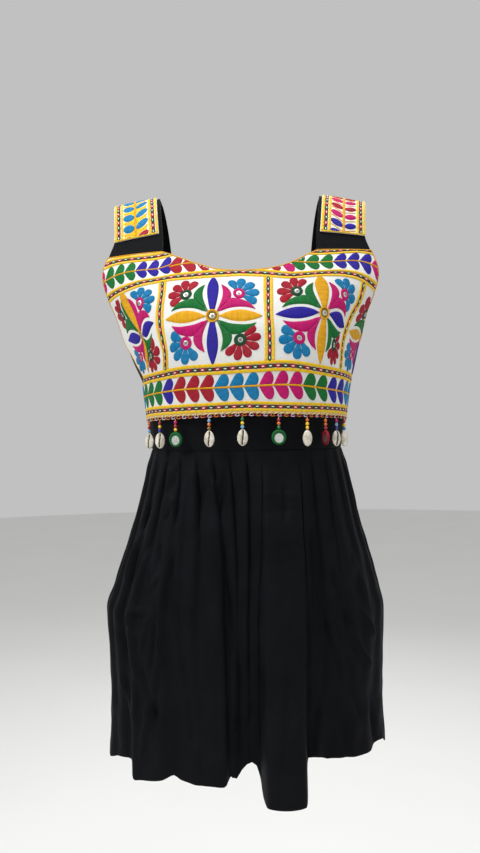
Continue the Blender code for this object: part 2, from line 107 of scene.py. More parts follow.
SECTION = "z half_width front back squareness centre"
BODY = table(
    SECTION,
    (-0.313, 0.1185, 0.0900, 0.0760, 2.20, 0.0043),
    (-0.270, 0.1235, 0.0960, 0.0800, 2.25, 0.0050),
    (-0.235, 0.1280, 0.1040, 0.0860, 2.30, 0.0052),
    (-0.205, 0.1372, 0.1120, 0.0920, 2.35, 0.0026),
    (-0.175, 0.1470, 0.1155, 0.0970, 2.35, 0.0005),
    (-0.150, 0.1580, 0.1110, 0.0990, 2.30, 0.0000),
    (-0.125, 0.1760, 0.1010, 0.0980, 2.25, 0.0000),
    (-0.100, 0.1900, 0.0870, 0.0950, 2.25, 0.0000),
    (-0.074, 0.1970, 0.0700, 0.0890, 2.30, 0.0000),
)
SKIRT = table(
    SECTION,
    (-0.720, 0.1750, 0.0700, 0.1120, 2.20, 0.0000),
    (-0.670, 0.1715, 0.0730, 0.1110, 2.20, 0.0000),
    (-0.620, 0.1695, 0.0760, 0.1090, 2.20, 0.0000),
    (-0.567, 0.1705, 0.0800, 0.1070, 2.20, 0.0000),
    (-0.515, 0.1720, 0.0840, 0.1040, 2.20, -0.0006),
    (-0.485, 0.1640, 0.0860, 0.1010, 2.20, 0.0008),
    (-0.433, 0.1475, 0.0900, 0.0940, 2.20, 0.0028),
    (-0.397, 0.1365, 0.0920, 0.0890, 2.20, 0.0034),
    (-0.355, 0.1268, 0.0920, 0.0830, 2.20, 0.0045),
    (-0.313, 0.1185, 0.0900, 0.0760, 2.20, 0.0043),
)
ARMHOLE = table(
    "z front back",
    (-0.320, 1.000, 1.000),
    (-0.183, 1.000, 1.000),
    (-0.178, 0.960, 0.960),
    (-0.170, 0.895, 0.885),
    (-0.158, 0.835, 0.815),
    (-0.143, 0.795, 0.755),
    (-0.125, 0.770, 0.715),
    (-0.100, 0.757, 0.695),
    (-0.074, 0.712, 0.712),
)
# How much earlier the embroidered front ends than the black one at its two edges, as a share of the half section
YOKE_SHORT = table(
    "z left right",
    (-0.280, 0.010, 0.010),
    (-0.255, 0.030, 0.010),
    (-0.238, 0.130, 0.012),
    (-0.222, 0.280, 0.014),
    (-0.205, 0.250, 0.014),
    (-0.190, 0.200, 0.012),
    (-0.168, 0.050, 0.008),
    (-0.140, 0.004, 0.004),
    (-0.074, 0.000, 0.000),
)
# How much lower than the black one its top lies, by column: -1 to 1 across the neck, beyond it the straps
DROP = "column drop"
YOKE_TOP_DROP = table(
    DROP,
    (-2.0, 0.005), (-1.0, 0.003), (-0.9, -0.001), (-0.72, -0.0044), (-0.5, -0.004), (-0.28, -0.001),
    (-0.12, 0.0), (0.85, 0.0), (1.0, 0.004), (2.0, 0.0005),
)
STRAP_PATH = table(
    "along depth height pull",
    (0.00, 1.00, 1.00, 0.0000),
    (0.25, 0.90, 0.71, 0.0060),
    (0.50, 0.74, 0.40, 0.0050),
    (0.75, 0.44, 0.12, 0.0025),
    (0.90, 0.19, 0.02, 0.0008),
    (1.00, 0.00, 0.00, 0.0000),
    (1.10, -0.19, 0.02, -0.0006),
)
PLEAT_HEIGHT = table(
    "down height",
    (0.00, 0.0008),
    (0.10, 0.0042),
    (0.35, 0.0052),
    (0.60, 0.0040),
    (1.00, 0.0028),
)
FOLD = "left right edge height drop"
FRONT_FOLDS = table(
    FOLD,
    (-1.20, -0.85, 0.25, 0.0000, 0.011),
    (-0.64, -0.25, 0.06, 0.0120, 0.017),
    (-0.47, -0.38, 0.06, -0.0045, 0.000),
    (-0.20, 0.09, 0.08, -0.0020, -0.006),
    (0.1176, 0.3529, 0.05, 0.0420, 0.031),
    (0.40, 0.95, 0.10, 0.0000, -0.008),
    (0.55, 0.76, 0.10, 0.0100, 0.000),
)
BACK_FOLDS = table(
    FOLD,
    (-0.78, -0.50, 0.09, 0.0110, 0.012),
    (-0.32, -0.10, 0.06, 0.0140, 0.008),
    (0.06, 0.40, 0.07, 0.0220, 0.018),
    (0.55, 0.80, 0.10, 0.0120, 0.006),
)
# How much lower than in the solids the front hem hangs at a column
FRONT_HEM = table(
    DROP,
    (-0.66, 0.0), (-0.62, 0.003), (-0.56, 0.0), (-0.5, -0.004), (-0.465, -0.01), (-0.44, -0.004),
    (-0.38, 0.0), (-0.26, 0.002), (-0.21, 0.014), (-0.165, 0.02), (-0.11, 0.01), (-0.05, 0.002),
    (0.0, 0.0), (0.05, 0.004), (0.085, 0.014), (0.11, 0.016), (0.14, 0.0), (0.35, 0.0), (0.38, -0.008),
    (0.43, -0.003), (0.49, 0.002), (0.58, 0.001), (0.75, -0.001), (0.85, -0.005), (0.93, -0.003),
    (1.0, 0.0),
)
FOLD_LINE = "waist hem"
FRONT_LINES = table(
    FOLD_LINE,
    (-1.0, -1.0), (-0.62, -0.66), (-0.27, -0.12), (0.1176, 0.095), (0.3529, 0.33), (1.0, 1.0),
)
BACK_LINES = table(
    FOLD_LINE,
    (-1.0, -1.0), (-0.32, -0.3), (0.06, 0.02), (0.4, 0.45), (1.0, 1.0),
)

# How sharp each pleat of a panel is at the waist, halfway down and at the hem, from its left to its right
PLEAT = "waist middle hem"
FRONT_PLEATS = table(
    PLEAT,
    (1.0, 0.5, 0.3), (0.9, 0.6, 0.4), (1.0, 1.0, 0.6), (1.1, 1.4, 1.2), (1.2, 1.1, 1.1), (1.1, 1.2, 0.7),
    (1.2, 0.9, 0.3), (0.9, 0.4, 0.1), (1.1, 0.6, 0.2), (1.2, 0.5, 0.0), (1.0, 0.3, 0.0), (0.9, 0.5, 0.2),
    (1.2, 0.9, 0.4), (1.0, 0.5, 0.3), (1.1, 0.8, 0.4), (1.0, 0.6, 0.3), (1.0, 0.5, 0.2), (1.0, 0.5, 0.3),
)
BACK_PLEATS = table(
    PLEAT,
    (1.0, 0.8, 0.4), (0.9, 0.9, 0.6), (1.1, 1.0, 0.8), (1.0, 0.8, 0.4), (1.0, 1.1, 0.9), (0.9, 0.7, 0.3),
    (1.0, 0.9, 0.6), (1.1, 0.8, 0.2), (1.0, 0.6, 0.2), (1.0, 0.9, 0.7), (0.9, 1.0, 0.8), (1.0, 0.7, 0.3),
    (1.1, 1.0, 0.6), (0.9, 0.8, 0.5), (1.0, 1.0, 0.7), (1.0, 0.7, 0.4), (0.9, 0.9, 0.5), (1.0, 0.8, 0.5),
)

# Creases in the black cloth, in mm: from and to are across from the centre and up from the origin
CREASE = "from_s from_z to_s to_z height width"
FRONT_CREASES = table(
    CREASE,
    (-98, -356, -112, -470, 3.7, 4), (-96, -480, -113, -590, -4.4, 4), (-72, -340, -82, -480, 4.4, 4),
    (-82, -480, -66, -600, -3.7, 4), (-50, -345, -60, -420, -2.7, 4), (-66, -600, -60, -660, -3.1, 4),
    (-130, -400, -160, -470, 3.1, 4), (-118, -370, -150, -430, -2.7, 4), (-150, -500, -120, -540, 3.4, 4),
    (-165, -520, -130, -600, -3.4, 5), (-160, -585, -135, -640, 2.7, 4), (-112, -600, -127, -690, 4.4, 4),
    (-128, -560, -100, -640, -3.1, 4), (-22, -330, -34, -400, -2.5, 4), (-34, -400, -10, -560, -4.8, 8),
    (-12, -540, -20, -700, 4.4, 8), (42, -350, 44, -400, -3.1, 4), (12, -362, 60, -366, 1.2, 3),
    (14, -384, 58, -381, -1.2, 3), (20, -436, 62, -430, 1.2, 3), (48, -560, 40, -690, -3.7, 7),
    (78, -400, 84, -520, -5.1, 7), (96, -500, 120, -590, 4.4, 4), (118, -520, 158, -585, 4.1, 4),
    (120, -590, 138, -640, -3.7, 4), (100, -450, 118, -500, -3.4, 4), (128, -430, 150, -500, 3.4, 4),
    (150, -600, 165, -680, -3.7, 5), (92, -600, 84, -690, 4.1, 6), (112, -620, 120, -700, -3.7, 6),
    (-94, -328, -96, -362, 3.4, 3), (-84, -332, -88, -360, -3.1, 3), (-98, -364, -84, -374, 3.1, 3),
    (-88, -378, -96, -398, -3.1, 3), (-80, -388, -86, -440, 3.1, 3), (-104, -400, -100, -452, -2.7, 3),
    (-140, -470, -118, -420, -3.7, 3), (-118, -480, -98, -455, 3.1, 3), (-146, -506, -122, -502, 2.4, 3),
    (-132, -514, -112, -506, -2.4, 3), (-110, -500, -128, -560, 4.1, 3), (-94, -440, -102, -560, 4.8, 3),
    (-98, -560, -108, -650, -4.1, 4), (132, -452, 122, -486, 3.7, 3), (138, -500, 166, -548, 4.4, 4),
    (118, -500, 134, -566, -4.1, 4), (-58, -340, -56, -380, -2.4, 3), (-36, -346, -38, -372, 2.4, 3),
)
BACK_CREASES = table(
    CREASE,
    (-96, -350, -110, -460, 3.6, 4), (-70, -345, -78, -470, -3.2, 4), (-36, -340, -44, -440, 3.2, 4),
    (-110, -480, -96, -600, -4.3, 5), (-48, -470, -30, -620, 4.7, 7), (-140, -430, -168, -520, 3.6, 4),
    (-150, -540, -125, -620, -4.0, 5), (6, -360, 2, -470, -4.0, 5), (30, -480, 18, -640, -4.7, 7),
    (70, -350, 82, -450, 3.6, 4), (92, -470, 74, -600, -4.3, 5), (110, -390, 134, -480, -3.6, 4),
    (124, -520, 160, -590, 4.0, 4), (140, -600, 126, -690, -4.3, 5), (-80, -610, -92, -700, 4.3, 6),
)
BODICE_CREASES = table(
    CREASE,
    (-110, -300, -70, -283, 1.2, 4), (-60, -306, -30, -288, 0.9, 4), (10, -305, 34, -284, 0.9, 4),
    (70, -303, 100, -280, 1.2, 4), (-150, -210, -120, -250, 1.5, 5), (150, -210, 118, -250, 1.5, 5),
)
BACK_BODICE_CREASES = table(
    CREASE,
    (-132, -196, -54, -236, 3.9, 5), (-124, -226, -36, -262, -3.3, 5), (130, -200, 58, -244, 3.8, 5),
    (122, -236, 44, -272, -3.3, 5), (-96, -142, -18, -172, 2.7, 6), (98, -148, 24, -180, 2.7, 6),
    (-66, -296, -8, -276, 2.4, 4), (16, -300, 80, -280, 2.4, 4), (-112, -262, -60, -292, 3.0, 5),
    (108, -268, 62, -298, 2.8, 5), (-8, -190, 6, -262, -2.1, 7), (-70, -196, -30, -214, -2.2, 5),
)

# Thread and cloth colours as seen on the screen, 0 to 255, in light and in shade
Thread = namedtuple("Thread", "light shade")
THREADS = {
    "blue": Thread((38, 22, 168), (22, 12, 100)),
    "golden": Thread((238, 178, 10), (188, 128, 6)),
    "yellow": Thread((250, 214, 34), (212, 152, 14)),
    "olive": Thread((150, 122, 24), (96, 72, 16)),
    "green": Thread((0, 122, 46), (0, 74, 32)),
    "dark_green": Thread((14, 78, 40), (8, 46, 26)),
    "magenta": Thread((212, 0, 116), (142, 0, 72)),
    "crimson": Thread((184, 16, 44), (110, 8, 24)),
    "teal": Thread((0, 134, 190), (0, 82, 124)),
    "white": Thread((240, 240, 236), (208, 208, 204)),
    "cream": Thread((240, 228, 182), (200, 182, 128)),
    "orange": Thread((226, 112, 20), (176, 80, 10)),
    "dark_red": Thread((104, 18, 26), (58, 8, 14)),
    "sky": Thread((132, 184, 218), (90, 142, 184)),
}
BLACK_LIGHT = (19, 20, 24)
BLACK_SHADE = (7, 8, 11)


def linear(channel):
    """A screen value of 0 to 255 as linear light."""
    value = channel / 255.0
    return value / 12.92 if value <= 0.04045 else ((value + 0.055) / 1.055) ** 2.4


def colour(triple):
    return (*[linear(channel) for channel in triple], 1.0)


def lerp(low, high, share):
    return low + (high - low) * share


def ease(share):
    share = np.clip(share, 0.0, 1.0)
    return share * share * (3.0 - 2.0 * share)


def between(rows, place):
    """Straight lines between the rows of a table with two columns."""
    places, values = zip(*rows)
    return np.interp(place, places, values)


def hermite(t, low, high, slope_low, slope_high):
    """Smooth curve between two values with given slopes, over t from 0 to 1."""
    return (
        low * (2 * t**3 - 3 * t**2 + 1)
        + slope_low * (t**3 - 2 * t**2 + t)
        + high * (3 * t**2 - 2 * t**3)
        + slope_high * (t**3 - t**2)
    )


def distances(line):
    """How far along a line each of its points lies."""
    return np.concatenate([[0.0], np.cumsum(np.linalg.norm(np.diff(line, axis=0), axis=1))])


def quads_of(grid):
    """The four corners of each cell of a grid, on a new last axis."""
    return np.stack([grid[:-1, :-1], grid[:-1, 1:], grid[1:, 1:], grid[1:, :-1]], axis=-1)


def smooth_curve(rows, column):
    """Function that looks a column up between rows, on the same smooth curve as in the solids."""
    places = np.array([row[0] for row in rows])
    values = np.array([getattr(row, column) for row in rows])
    slopes = np.diff(values) / np.diff(places)
    before, after = slopes[:-1], slopes[1:]
    total = np.where(before * after > 0, before + after, 1.0)
    middle = np.where(before * after > 0, 2.0 * before * after / total, 0.0)
    tangents = np.concatenate([slopes[:1], middle, slopes[-1:]])

    def at(place):
        place = np.clip(place, places[0], places[-1])
        i = np.clip(np.searchsorted(places, place) - 1, 0, len(places) - 2)
        width = places[i + 1] - places[i]
        t = (place - places[i]) / width
        return hermite(t, values[i], values[i + 1], tangents[i] * width, tangents[i + 1] * width)

    return at


def grid_lookup(grid, row, column):
    """Values of a grid of points or numbers between its rows and columns."""
    row = np.clip(row, 0, grid.shape[0] - 1.000001)
    column = np.clip(column, 0, grid.shape[1] - 1.000001)
    r, c = np.floor(row).astype(int), np.floor(column).astype(int)
    dr, dc = row - r, column - c
    if grid.ndim == 3:
        dr, dc = dr[..., None], dc[..., None]
    low = lerp(grid[r, c], grid[r, c + 1], dc)
    return lerp(low, lerp(grid[r + 1, c], grid[r + 1, c + 1], dc), dr)


class Form:
    """Half of a form made of sections: points by height and share of the way from the centre to the side."""

    HEIGHTS = 401
    SHARES = 241
    TURNS = 361

    def __init__(self, sections, back):
        self.back = back
        self.low, self.high = sections[0].z, sections[-1].z
        self.z = np.linspace(self.low, self.high, self.HEIGHTS)
        turn = np.radians(np.linspace(0.0, 90.0, self.TURNS))
        keys = ("half_width", "back" if back else "front", "squareness", "centre")
        half_width, deep, squareness, self.centre = (smooth_curve(sections, key) for key in keys)
        power = (2.0 / squareness(self.z))[:, None]
        across = half_width(self.z)[:, None] * np.abs(np.sin(turn)) ** power
        depth = deep(self.z)[:, None] * np.abs(np.cos(turn)) ** power
        depth[:, -1] = 0.0
        steps = np.hypot(np.diff(across, axis=1), np.diff(depth, axis=1))
        lengths = np.concatenate([np.zeros((self.HEIGHTS, 1)), np.cumsum(steps, axis=1)], axis=1)
        self.lengths = lengths[:, -1]
        even = np.linspace(0.0, 1.0, self.SHARES)
        shares = lengths / lengths[:, -1:]
        self.across = np.array([np.interp(even, row, values) for row, values in zip(shares, across)])
        self.depth = np.array([np.interp(even, row, values) for row, values in zip(shares, depth)])

    def length(self, z):
        return np.interp(z, self.z, self.lengths)

    def point(self, z, share):
        z, share = np.broadcast_arrays(z, share)
        reach = np.minimum(np.abs(share), 1.0 - SEAM_GAP / 2 / self.length(z))
        row = (z - self.low) / (self.high - self.low) * (self.HEIGHTS - 1)
        across = grid_lookup(self.across, row, reach * (self.SHARES - 1)) * np.sign(share)
        depth = grid_lookup(self.depth, row, reach * (self.SHARES - 1))
        centre = self.centre(z)
        return np.stack([centre - across, depth, z] if self.back else [centre + across, -depth, z], axis=-1)


BODICE_FORMS = {back: Form(BODY, back) for back in (False, True)}
SKIRT_FORMS = {back: Form(SKIRT, back) for back in (False, True)}
ARMHOLE_EDGE = {False: smooth_curve(ARMHOLE, "front"), True: smooth_curve(ARMHOLE, "back")}
SHORT_LEFT = smooth_curve(YOKE_SHORT, "left")
SHORT_RIGHT = smooth_curve(YOKE_SHORT, "right")
STRAP_DEPTH = smooth_curve(STRAP_PATH, "depth")
STRAP_HEIGHT = smooth_curve(STRAP_PATH, "height")
STRAP_PULL = smooth_curve(STRAP_PATH, "pull")
PLEAT_OUT = smooth_curve(PLEAT_HEIGHT, "height")


def strap_points(side, across, along):
    """Points on a strap: across 0 inner to 1 outer edge, along 0 front, 1 shoulder seam, 2 back."""
    across, along = np.broadcast_arrays(across, along)
    w = np.where(along > 1.0, 2.0 - along, along)
    starts = []
    for back in (False, True):
        edge = ARMHOLE_EDGE[back](YOKE_TOP_Z)
        starts.append(BODICE_FORMS[back].point(YOKE_TOP_Z, lerp(STRAP_SHARE, edge, across)))
    start = np.where((along > 1.0)[..., None], starts[1], starts[0])
    x = lerp(np.abs(start[..., 0]), lerp(SHOULDER_INNER_X, SHOULDER_OUTER_X, across), w)
    x = x - STRAP_PULL(w) * lerp(STRAP_PULL_AT_INNER, 1.0, across)
    y = start[..., 1] * STRAP_DEPTH(w)
    z = YOKE_TOP_Z * STRAP_HEIGHT(w) + SHOULDER_SLOPE * (0.5 - across) * w
    return np.stack([side * x, y, z], axis=-1)


def panel_top(across, back):
    """Height of a bodice panel's upper edge at a column."""
    neck = BACK_NECK_Z if back else FRONT_NECK_Z
    return lerp(neck, YOKE_TOP_Z, np.minimum(np.abs(across), 1.0) ** NECK_ROUNDNESS)


def panel_share(across, edge):
    """Share of the half section at a column: 0 to 1 across the neck, 1 to 2 across a strap."""
    beyond = np.copysign(lerp(STRAP_SHARE, edge, np.abs(across) - 1.0), across)
    return np.where(np.abs(across) <= 1.0, across * STRAP_SHARE, beyond)


def yoke_hang(z, share):
    lower = ease((HANG_STARTS_Z - z) / (HANG_STARTS_Z - HANG_ENDS_Z))
    frontal = np.cos(math.radians(90.0) * np.minimum(np.abs(share), 1.0)) ** 2
    return lower * lerp(HANG_AT_SIDE, HANG_AT_FRONT, frontal)


def yoke_short(z, side):
    return np.where(side < 0, SHORT_LEFT(z), SHORT_RIGHT(z))


def yoke_top(column):
    """Height of the embroidered front's upper edge at a column."""
    return panel_top(column, False) - between(YOKE_TOP_DROP, column)


def normals_of(lattice):
    """Outward unit normals of a lattice whose columns run to its right and whose rows run up."""

    def change(axis):
        step = np.diff(lattice, axis=axis)
        pad = np.full_like(np.take(lattice, [0], axis=axis), np.nan)
        both = np.stack([np.concatenate([step, pad], axis), np.concatenate([pad, step], axis)])
        there = ~np.isnan(both)
        return np.where(there, both, 0.0).sum(0) / np.maximum(there.sum(0), 1)

    normals = np.cross(change(1), change(0))
    return normals / np.maximum(np.linalg.norm(normals, axis=2, keepdims=True), 1e-12)


def crease_relief(creases, s, z):
    """How far soft troughs and ridges move the cloth out, by its flat place across and its height."""
    out = np.zeros_like(s)
    for crease in creases:
        start = np.array([crease.from_s, crease.from_z]) * MM
        reach = np.array([crease.to_s, crease.to_z]) * MM - start
        place = ((s - start[0]) * reach[0] + (z - start[1]) * reach[1]) / (reach @ reach)
        kept = np.clip(place, 0.0, 1.0)
        distance = np.hypot(s - start[0] - kept * reach[0], z - start[1] - kept * reach[1])
        ends = ease(place / CREASE_END + CREASE_PAST) * ease((1.0 - place) / CREASE_END + CREASE_PAST)
        out += crease.height * MM * np.exp(-((distance / (crease.width * MM)) ** 2)) * ends
    return out


# Slow ripples of soft cloth: waves a metre across and up, phase and height
RIPPLES = table(
    "across up phase height",
    (210.0, 60.0, 0.4, 0.00022),
    (-150.0, 95.0, 1.9, 0.00026),
    (320.0, -120.0, 3.1, 0.00014),
    (90.0, 170.0, 5.2, 0.00018),
    (-420.0, 70.0, 0.9, 0.00010),
)


def ripples(s, z):
    out = np.zeros_like(s)
    wander = RIPPLE_WANDER * np.sin(RIPPLE_WANDERS_A_METRE * z)
    for ripple in RIPPLES:
        out += ripple.height * np.sin(ripple.across * s + ripple.up * z + ripple.phase + wander)
    return out


def mesh_object(name, points, faces, finishes, face_finishes=None, uv=None, sharp_angle=45):
    """Object from points and faces with one or more materials, shaded smooth."""
    mesh = bpy.data.meshes.new(name)
    mesh.from_pydata(points.tolist(), [], faces)
    for finish in finishes:
        mesh.materials.append(finish)
    if face_finishes is not None:
        mesh.polygons.foreach_set("material_index", np.asarray(face_finishes, dtype=np.int32))
    if uv is not None:
        corners = np.empty(len(mesh.loops), dtype=np.int32)
        mesh.loops.foreach_get("vertex_index", corners)
        layer = mesh.uv_layers.new(name="UVMap")
        layer.data.foreach_set("uv", np.asarray(uv)[corners].astype(np.float32).ravel())
    mesh.shade_smooth()
    mesh.set_sharp_from_angle(angle=math.radians(sharp_angle))
    mesh.update()
    thing = bpy.data.objects.new(name, mesh)
    bpy.context.scene.collection.objects.link(thing)
    return thing


def wall(name, inner, outer, finish, sharp_angle=60):
    """Thin closed cloth between two lattices of points. A point that is not a number is left out."""
    there = ~np.isnan(inner[:, :, 0])
    rows, columns = there.shape
    number = np.cumsum(there.ravel()).reshape(there.shape) - 1
    count = int(there.sum())
    steps = np.diff(np.nan_to_num(outer), axis=1, prepend=outer[:, :1])
    flat_s = np.cumsum(np.linalg.norm(steps, axis=2), axis=1)
    row_step = np.nanmean(np.linalg.norm(np.diff(outer, axis=0), axis=2))
    flat_t = np.repeat(np.arange(rows)[:, None], columns, axis=1) * row_step
    uv = np.stack([np.nan_to_num(flat_s), flat_t], axis=-1)[there]
    quads = quads_of(number)[quads_of(there).all(axis=-1)]
    ends = np.concatenate([quads[:, [i, (i + 1) % 4]] for i in range(4)])
    code = ends[:, 0] * count + ends[:, 1]
    rim = ends[~np.isin(code, ends[:, 1] * count + ends[:, 0])]
    rim_quads = np.stack([rim[:, 1], rim[:, 0], rim[:, 0] + count, rim[:, 1] + count], axis=1)
    faces = np.concatenate([quads, quads[:, ::-1] + count, rim_quads])
    points = np.concatenate([outer[there], inner[there]])
    return mesh_object(name, points, faces.tolist(), [finish], None, np.concatenate([uv, uv]), sharp_angle)


# Materials


class Shader:
    """Builds a material's nodes."""

    def __init__(self, name):
        self.material = bpy.data.materials.new(name)
        self.material.use_nodes = True
        self.tree = self.material.node_tree
        self.principled = self.tree.nodes["Principled BSDF"]
        coordinates = self.node("TexCoord")
        self.place, self.flat = coordinates.outputs["Object"], coordinates.outputs["UV"]

    def put(self, socket, value):
        if isinstance(value, bpy.types.NodeSocket):
            self.tree.links.new(value, socket)
        else:
            socket.default_value = value

    def node(self, kind, inputs=None, **settings):
        made = self.tree.nodes.new("ShaderNode" + kind)
        for key, value in settings.items():
            setattr(made, key, value)
        for key, value in (inputs or {}).items():
            self.put(made.inputs[key], value)
        return made

    def maths(self, operation, first, second):
        return self.node("Math", {0: first, 1: second}, operation=operation).outputs[0]

    def shared(self, first, share, second):
        """Two patterns added, the first with its share of the whole."""
        return self.maths("ADD", self.maths("MULTIPLY", first, share), self.maths("MULTIPLY", second, 1.0 - share))

    def ramp(self, factor, low, high):
        return self.node("MapRange", {0: factor, 1: low, 2: high}).outputs[0]

    def noise(self, vector, scale, detail):
        return self.node("TexNoise", {"Vector": vector, "Scale": scale, "Detail": detail}).outputs["Fac"]

    def wave(self, scale, direction="X"):
        made = self.node("TexWave", {"Vector": self.flat, "Scale": scale}, bands_direction=direction)
        return made.outputs["Fac"]

    def weave(self, scale):
        return self.maths("MULTIPLY", self.wave(scale), self.wave(scale, "Y"))

    def scaled(self, vector, scale):
        return self.node("Mapping", {"Vector": vector, "Scale": scale}).outputs[0]

    def bump(self, height, strength, distance):
        made = self.node("Bump", {"Height": height, "Strength": strength, "Distance": distance})
        self.put(self.principled.inputs["Normal"], made.outputs[0])

    def finish(self, tone, low, high, **values):
        """Colours the surface from low to high by a tone, sets its other values and gives the material."""
        base = self.node("Mix", {0: tone, 6: low, 7: high}, data_type="RGBA").outputs[2]
        for key, value in {"Base_Color": base, **values}.items():
            self.put(self.principled.inputs[key.replace("_", " ")], value)
        return self.material


def clouded(name, scale, detail, low, high, **values):
    """Material whose colour drifts between two in soft clouds."""
    shader = Shader(name)
    return shader.finish(shader.noise(shader.place, scale, detail), low, high, **values)


def shade_and_light(name):
    """The two colours of a thread."""
    return colour(THREADS[name].shade), colour(THREADS[name].light)


def black_cloth():
    """Soft matt black rayon: fine plain weave, small wrinkles and a faint sheen."""
    shader = Shader("black_rayon")
    weave = shader.weave(scale=260.0)
    cloudy = shader.noise(shader.place, scale=22.0, detail=4.0)
    wrinkles = shader.noise(shader.scaled(shader.place, (1.0, 1.0, 0.45)), scale=70.0, detail=5.0)
    relief = shader.maths("ADD", wrinkles, shader.maths("MULTIPLY", weave, 0.08))
    shader.bump(relief, strength=0.6, distance=0.0020)
    return shader.finish(
        shader.ramp(shader.shared(cloudy, 0.75, weave), low=0.25, high=0.75),
        colour(BLACK_SHADE),
        colour(BLACK_LIGHT),
        Roughness=shader.ramp(cloudy, low=-1.2, high=1.4),
        Specular_IOR_Level=0.07,
        Sheen_Weight=0.004,
        Sheen_Roughness=0.5,
        Sheen_Tint=(0.75, 0.80, 0.95, 1.0),
    )


def white_cotton():
    """White ground cloth of the embroidery, with its weave."""
    shader = Shader("white_cotton")
    weave = shader.weave(scale=190.0)
    cloudy = shader.noise(shader.place, scale=45.0, detail=3.0)
    shader.bump(weave, strength=0.35, distance=0.0006)
    tone = shader.shared(cloudy, 0.6, weave)
    values = {"Roughness": 0.85, "Specular_IOR_Level": 0.2, "Sheen_Weight": 0.05}
    return shader.finish(tone, *shade_and_light("white"), **values)


def thread(name):
    """Glossy embroidery thread in rows across each shape."""
    shader = Shader("thread_" + name)
    strands = shader.wave(scale=620.0)
    patchy = shader.noise(shader.scaled(shader.flat, (320.0, 60.0, 1.0)), scale=1.0, detail=3.0)
    shader.bump(strands, strength=0.45, distance=0.0005)
    return shader.finish(
        shader.ramp(shader.shared(strands, 0.35, patchy), low=0.22, high=0.72),
        *shade_and_light(name),
        Roughness=0.56,
        Specular_IOR_Level=0.22,
        Sheen_Weight=0.03,
        Sheen_Roughness=0.4,
    )


def mirror_glass():
    shader = Shader("mirror_glass")
    cloudy = shader.noise(shader.place, scale=420.0, detail=2.0)
    shader.bump(cloudy, strength=0.12, distance=0.0006)
    dull, bright = (0.50, 0.53, 0.50, 1.0), (0.86, 0.88, 0.84, 1.0)
    return shader.finish(cloudy, dull, bright, Roughness=shader.ramp(cloudy, low=-1.6, high=3.6), Metallic=0.92)


BLACK = black_cloth()
WHITE = white_cotton()
THREAD_MATERIALS = {name: thread(name) for name in THREADS}
THREAD_NAMES = list(THREADS)
MIRROR = mirror_glass()
# Painted dark reflection: the middle of each flat mirror is clouded grey-brown instead of mirror glass
MIRROR_PAINTED_REFLECTION_COLOURS = colour((96, 84, 74)), colour((176, 172, 164))
MIRROR_PAINTED_DARK_REFLECTION = clouded("mirror_painted_dark_reflection", 600.0, 3.0, *MIRROR_PAINTED_REFLECTION_COLOURS, Roughness=0.3, Metallic=0.4)


def cloth_piece(piece, node):
    """Ties a cloth piece to the body, in place of its solid."""
    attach(piece, "root")
    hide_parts(node)


def trim_piece(piece, slot, *nodes):
    """Ties another piece to the body, with the solids that it stands for."""
    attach(piece, "root")
    if nodes:
        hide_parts(*nodes)


# Black cloth
BODICE_LEVELS = 72
CENTRE_COLUMNS = 84
STRAP_COLUMNS = 28
STRAP_ROWS = 36
BODICE_RIPPLE = 0.6
BODICE_RIPPLE_WIDTH = 0.7
UNDER_YOKE_RELIEF = 0.35
# Shares of a panel over which its relief fades towards a seam
CALM_ABOVE_WAIST = 0.04
CALM_BELOW_TOP = 0.06
CALM_BELOW_WAIST = 0.05
CALM_BY_SIDE_SEAM = 0.03


def panel_columns(centre, strap):
    straps = 1.0 + np.arange(1, strap + 1) / strap
    return np.concatenate([-straps[::-1], np.linspace(-1.0, 1.0, centre + 1), straps])


def bodice_lattice(back):
    """Points of a bodice panel with its half straps, and how far creases and ripples move the panel out."""
    columns = panel_columns(CENTRE_COLUMNS, STRAP_COLUMNS)[None, :]
    levels = np.linspace(0.0, 1.0, BODICE_LEVELS)[:, None]
    z = lerp(WAIST_Z, panel_top(columns, back), levels)
    share = panel_share(columns, ARMHOLE_EDGE[back](z))
    body = BODICE_FORMS[back].point(z, share)
    flat = share * BODICE_FORMS[back].length(z)
    end = 1.0 - SEAM_GAP / 2 / abs(YOKE_TOP_Z)
    along = np.minimum(np.arange(1, STRAP_ROWS + 1) / STRAP_ROWS, end)[:, None]
    side = np.sign(-columns if back else columns)
    straps = strap_points(side, np.abs(columns) - 1.0, 2.0 - along if back else along)
    straps[:, np.abs(columns[0]) < 1.0] = np.nan
    creases = BACK_BODICE_CREASES if back else BODICE_CREASES
    relief = crease_relief(creases, flat, z) + BODICE_RIPPLE * ripples(flat * BODICE_RIPPLE_WIDTH, z)
    relief *= ease(levels / CALM_ABOVE_WAIST) * ease((1.0 - levels) / CALM_BELOW_TOP)
    relief = relief if back else np.maximum(relief, 0.0) * UNDER_YOKE_RELIEF
    return np.concatenate([body, straps]), relief


def make_bodice(node, back):
    lattice, relief = bodice_lattice(back)
    normals = normals_of(lattice)
    push = np.zeros(lattice.shape[:2])
    push[:BODICE_LEVELS] = relief
    middle = lattice + normals * push[:, :, None]
    outer = middle + normals * BLACK_WALL
    outer[0, :, 2] = lattice[0, :, 2]
    cloth_piece(wall(f"{node}_cloth", middle, outer, BLACK), node)


SKIRT_ROWS_FINE = 120
COLUMNS_A_PLEAT = 14
PLEAT_RISE_AT_WAIST = 0.90
PLEAT_RISE_AT_HEM = 0.62
# How soon down the skirt the pleats' fold edges move in and soften
RISE_SHIFTS = 1.3
EDGE_SOFTENS = 1.6


def plateau(place, fold):
    return ease((place - fold.left) / fold.edge + 0.5) * ease((fold.right - place) / fold.edge + 0.5)


def crown(place, fold):
    offset = (place - (fold.left + fold.right) / 2) / (fold.right - fold.left) * 2.0
    return plateau(place, fold) * (1.0 - FOLD_ROUNDING * offset * offset)


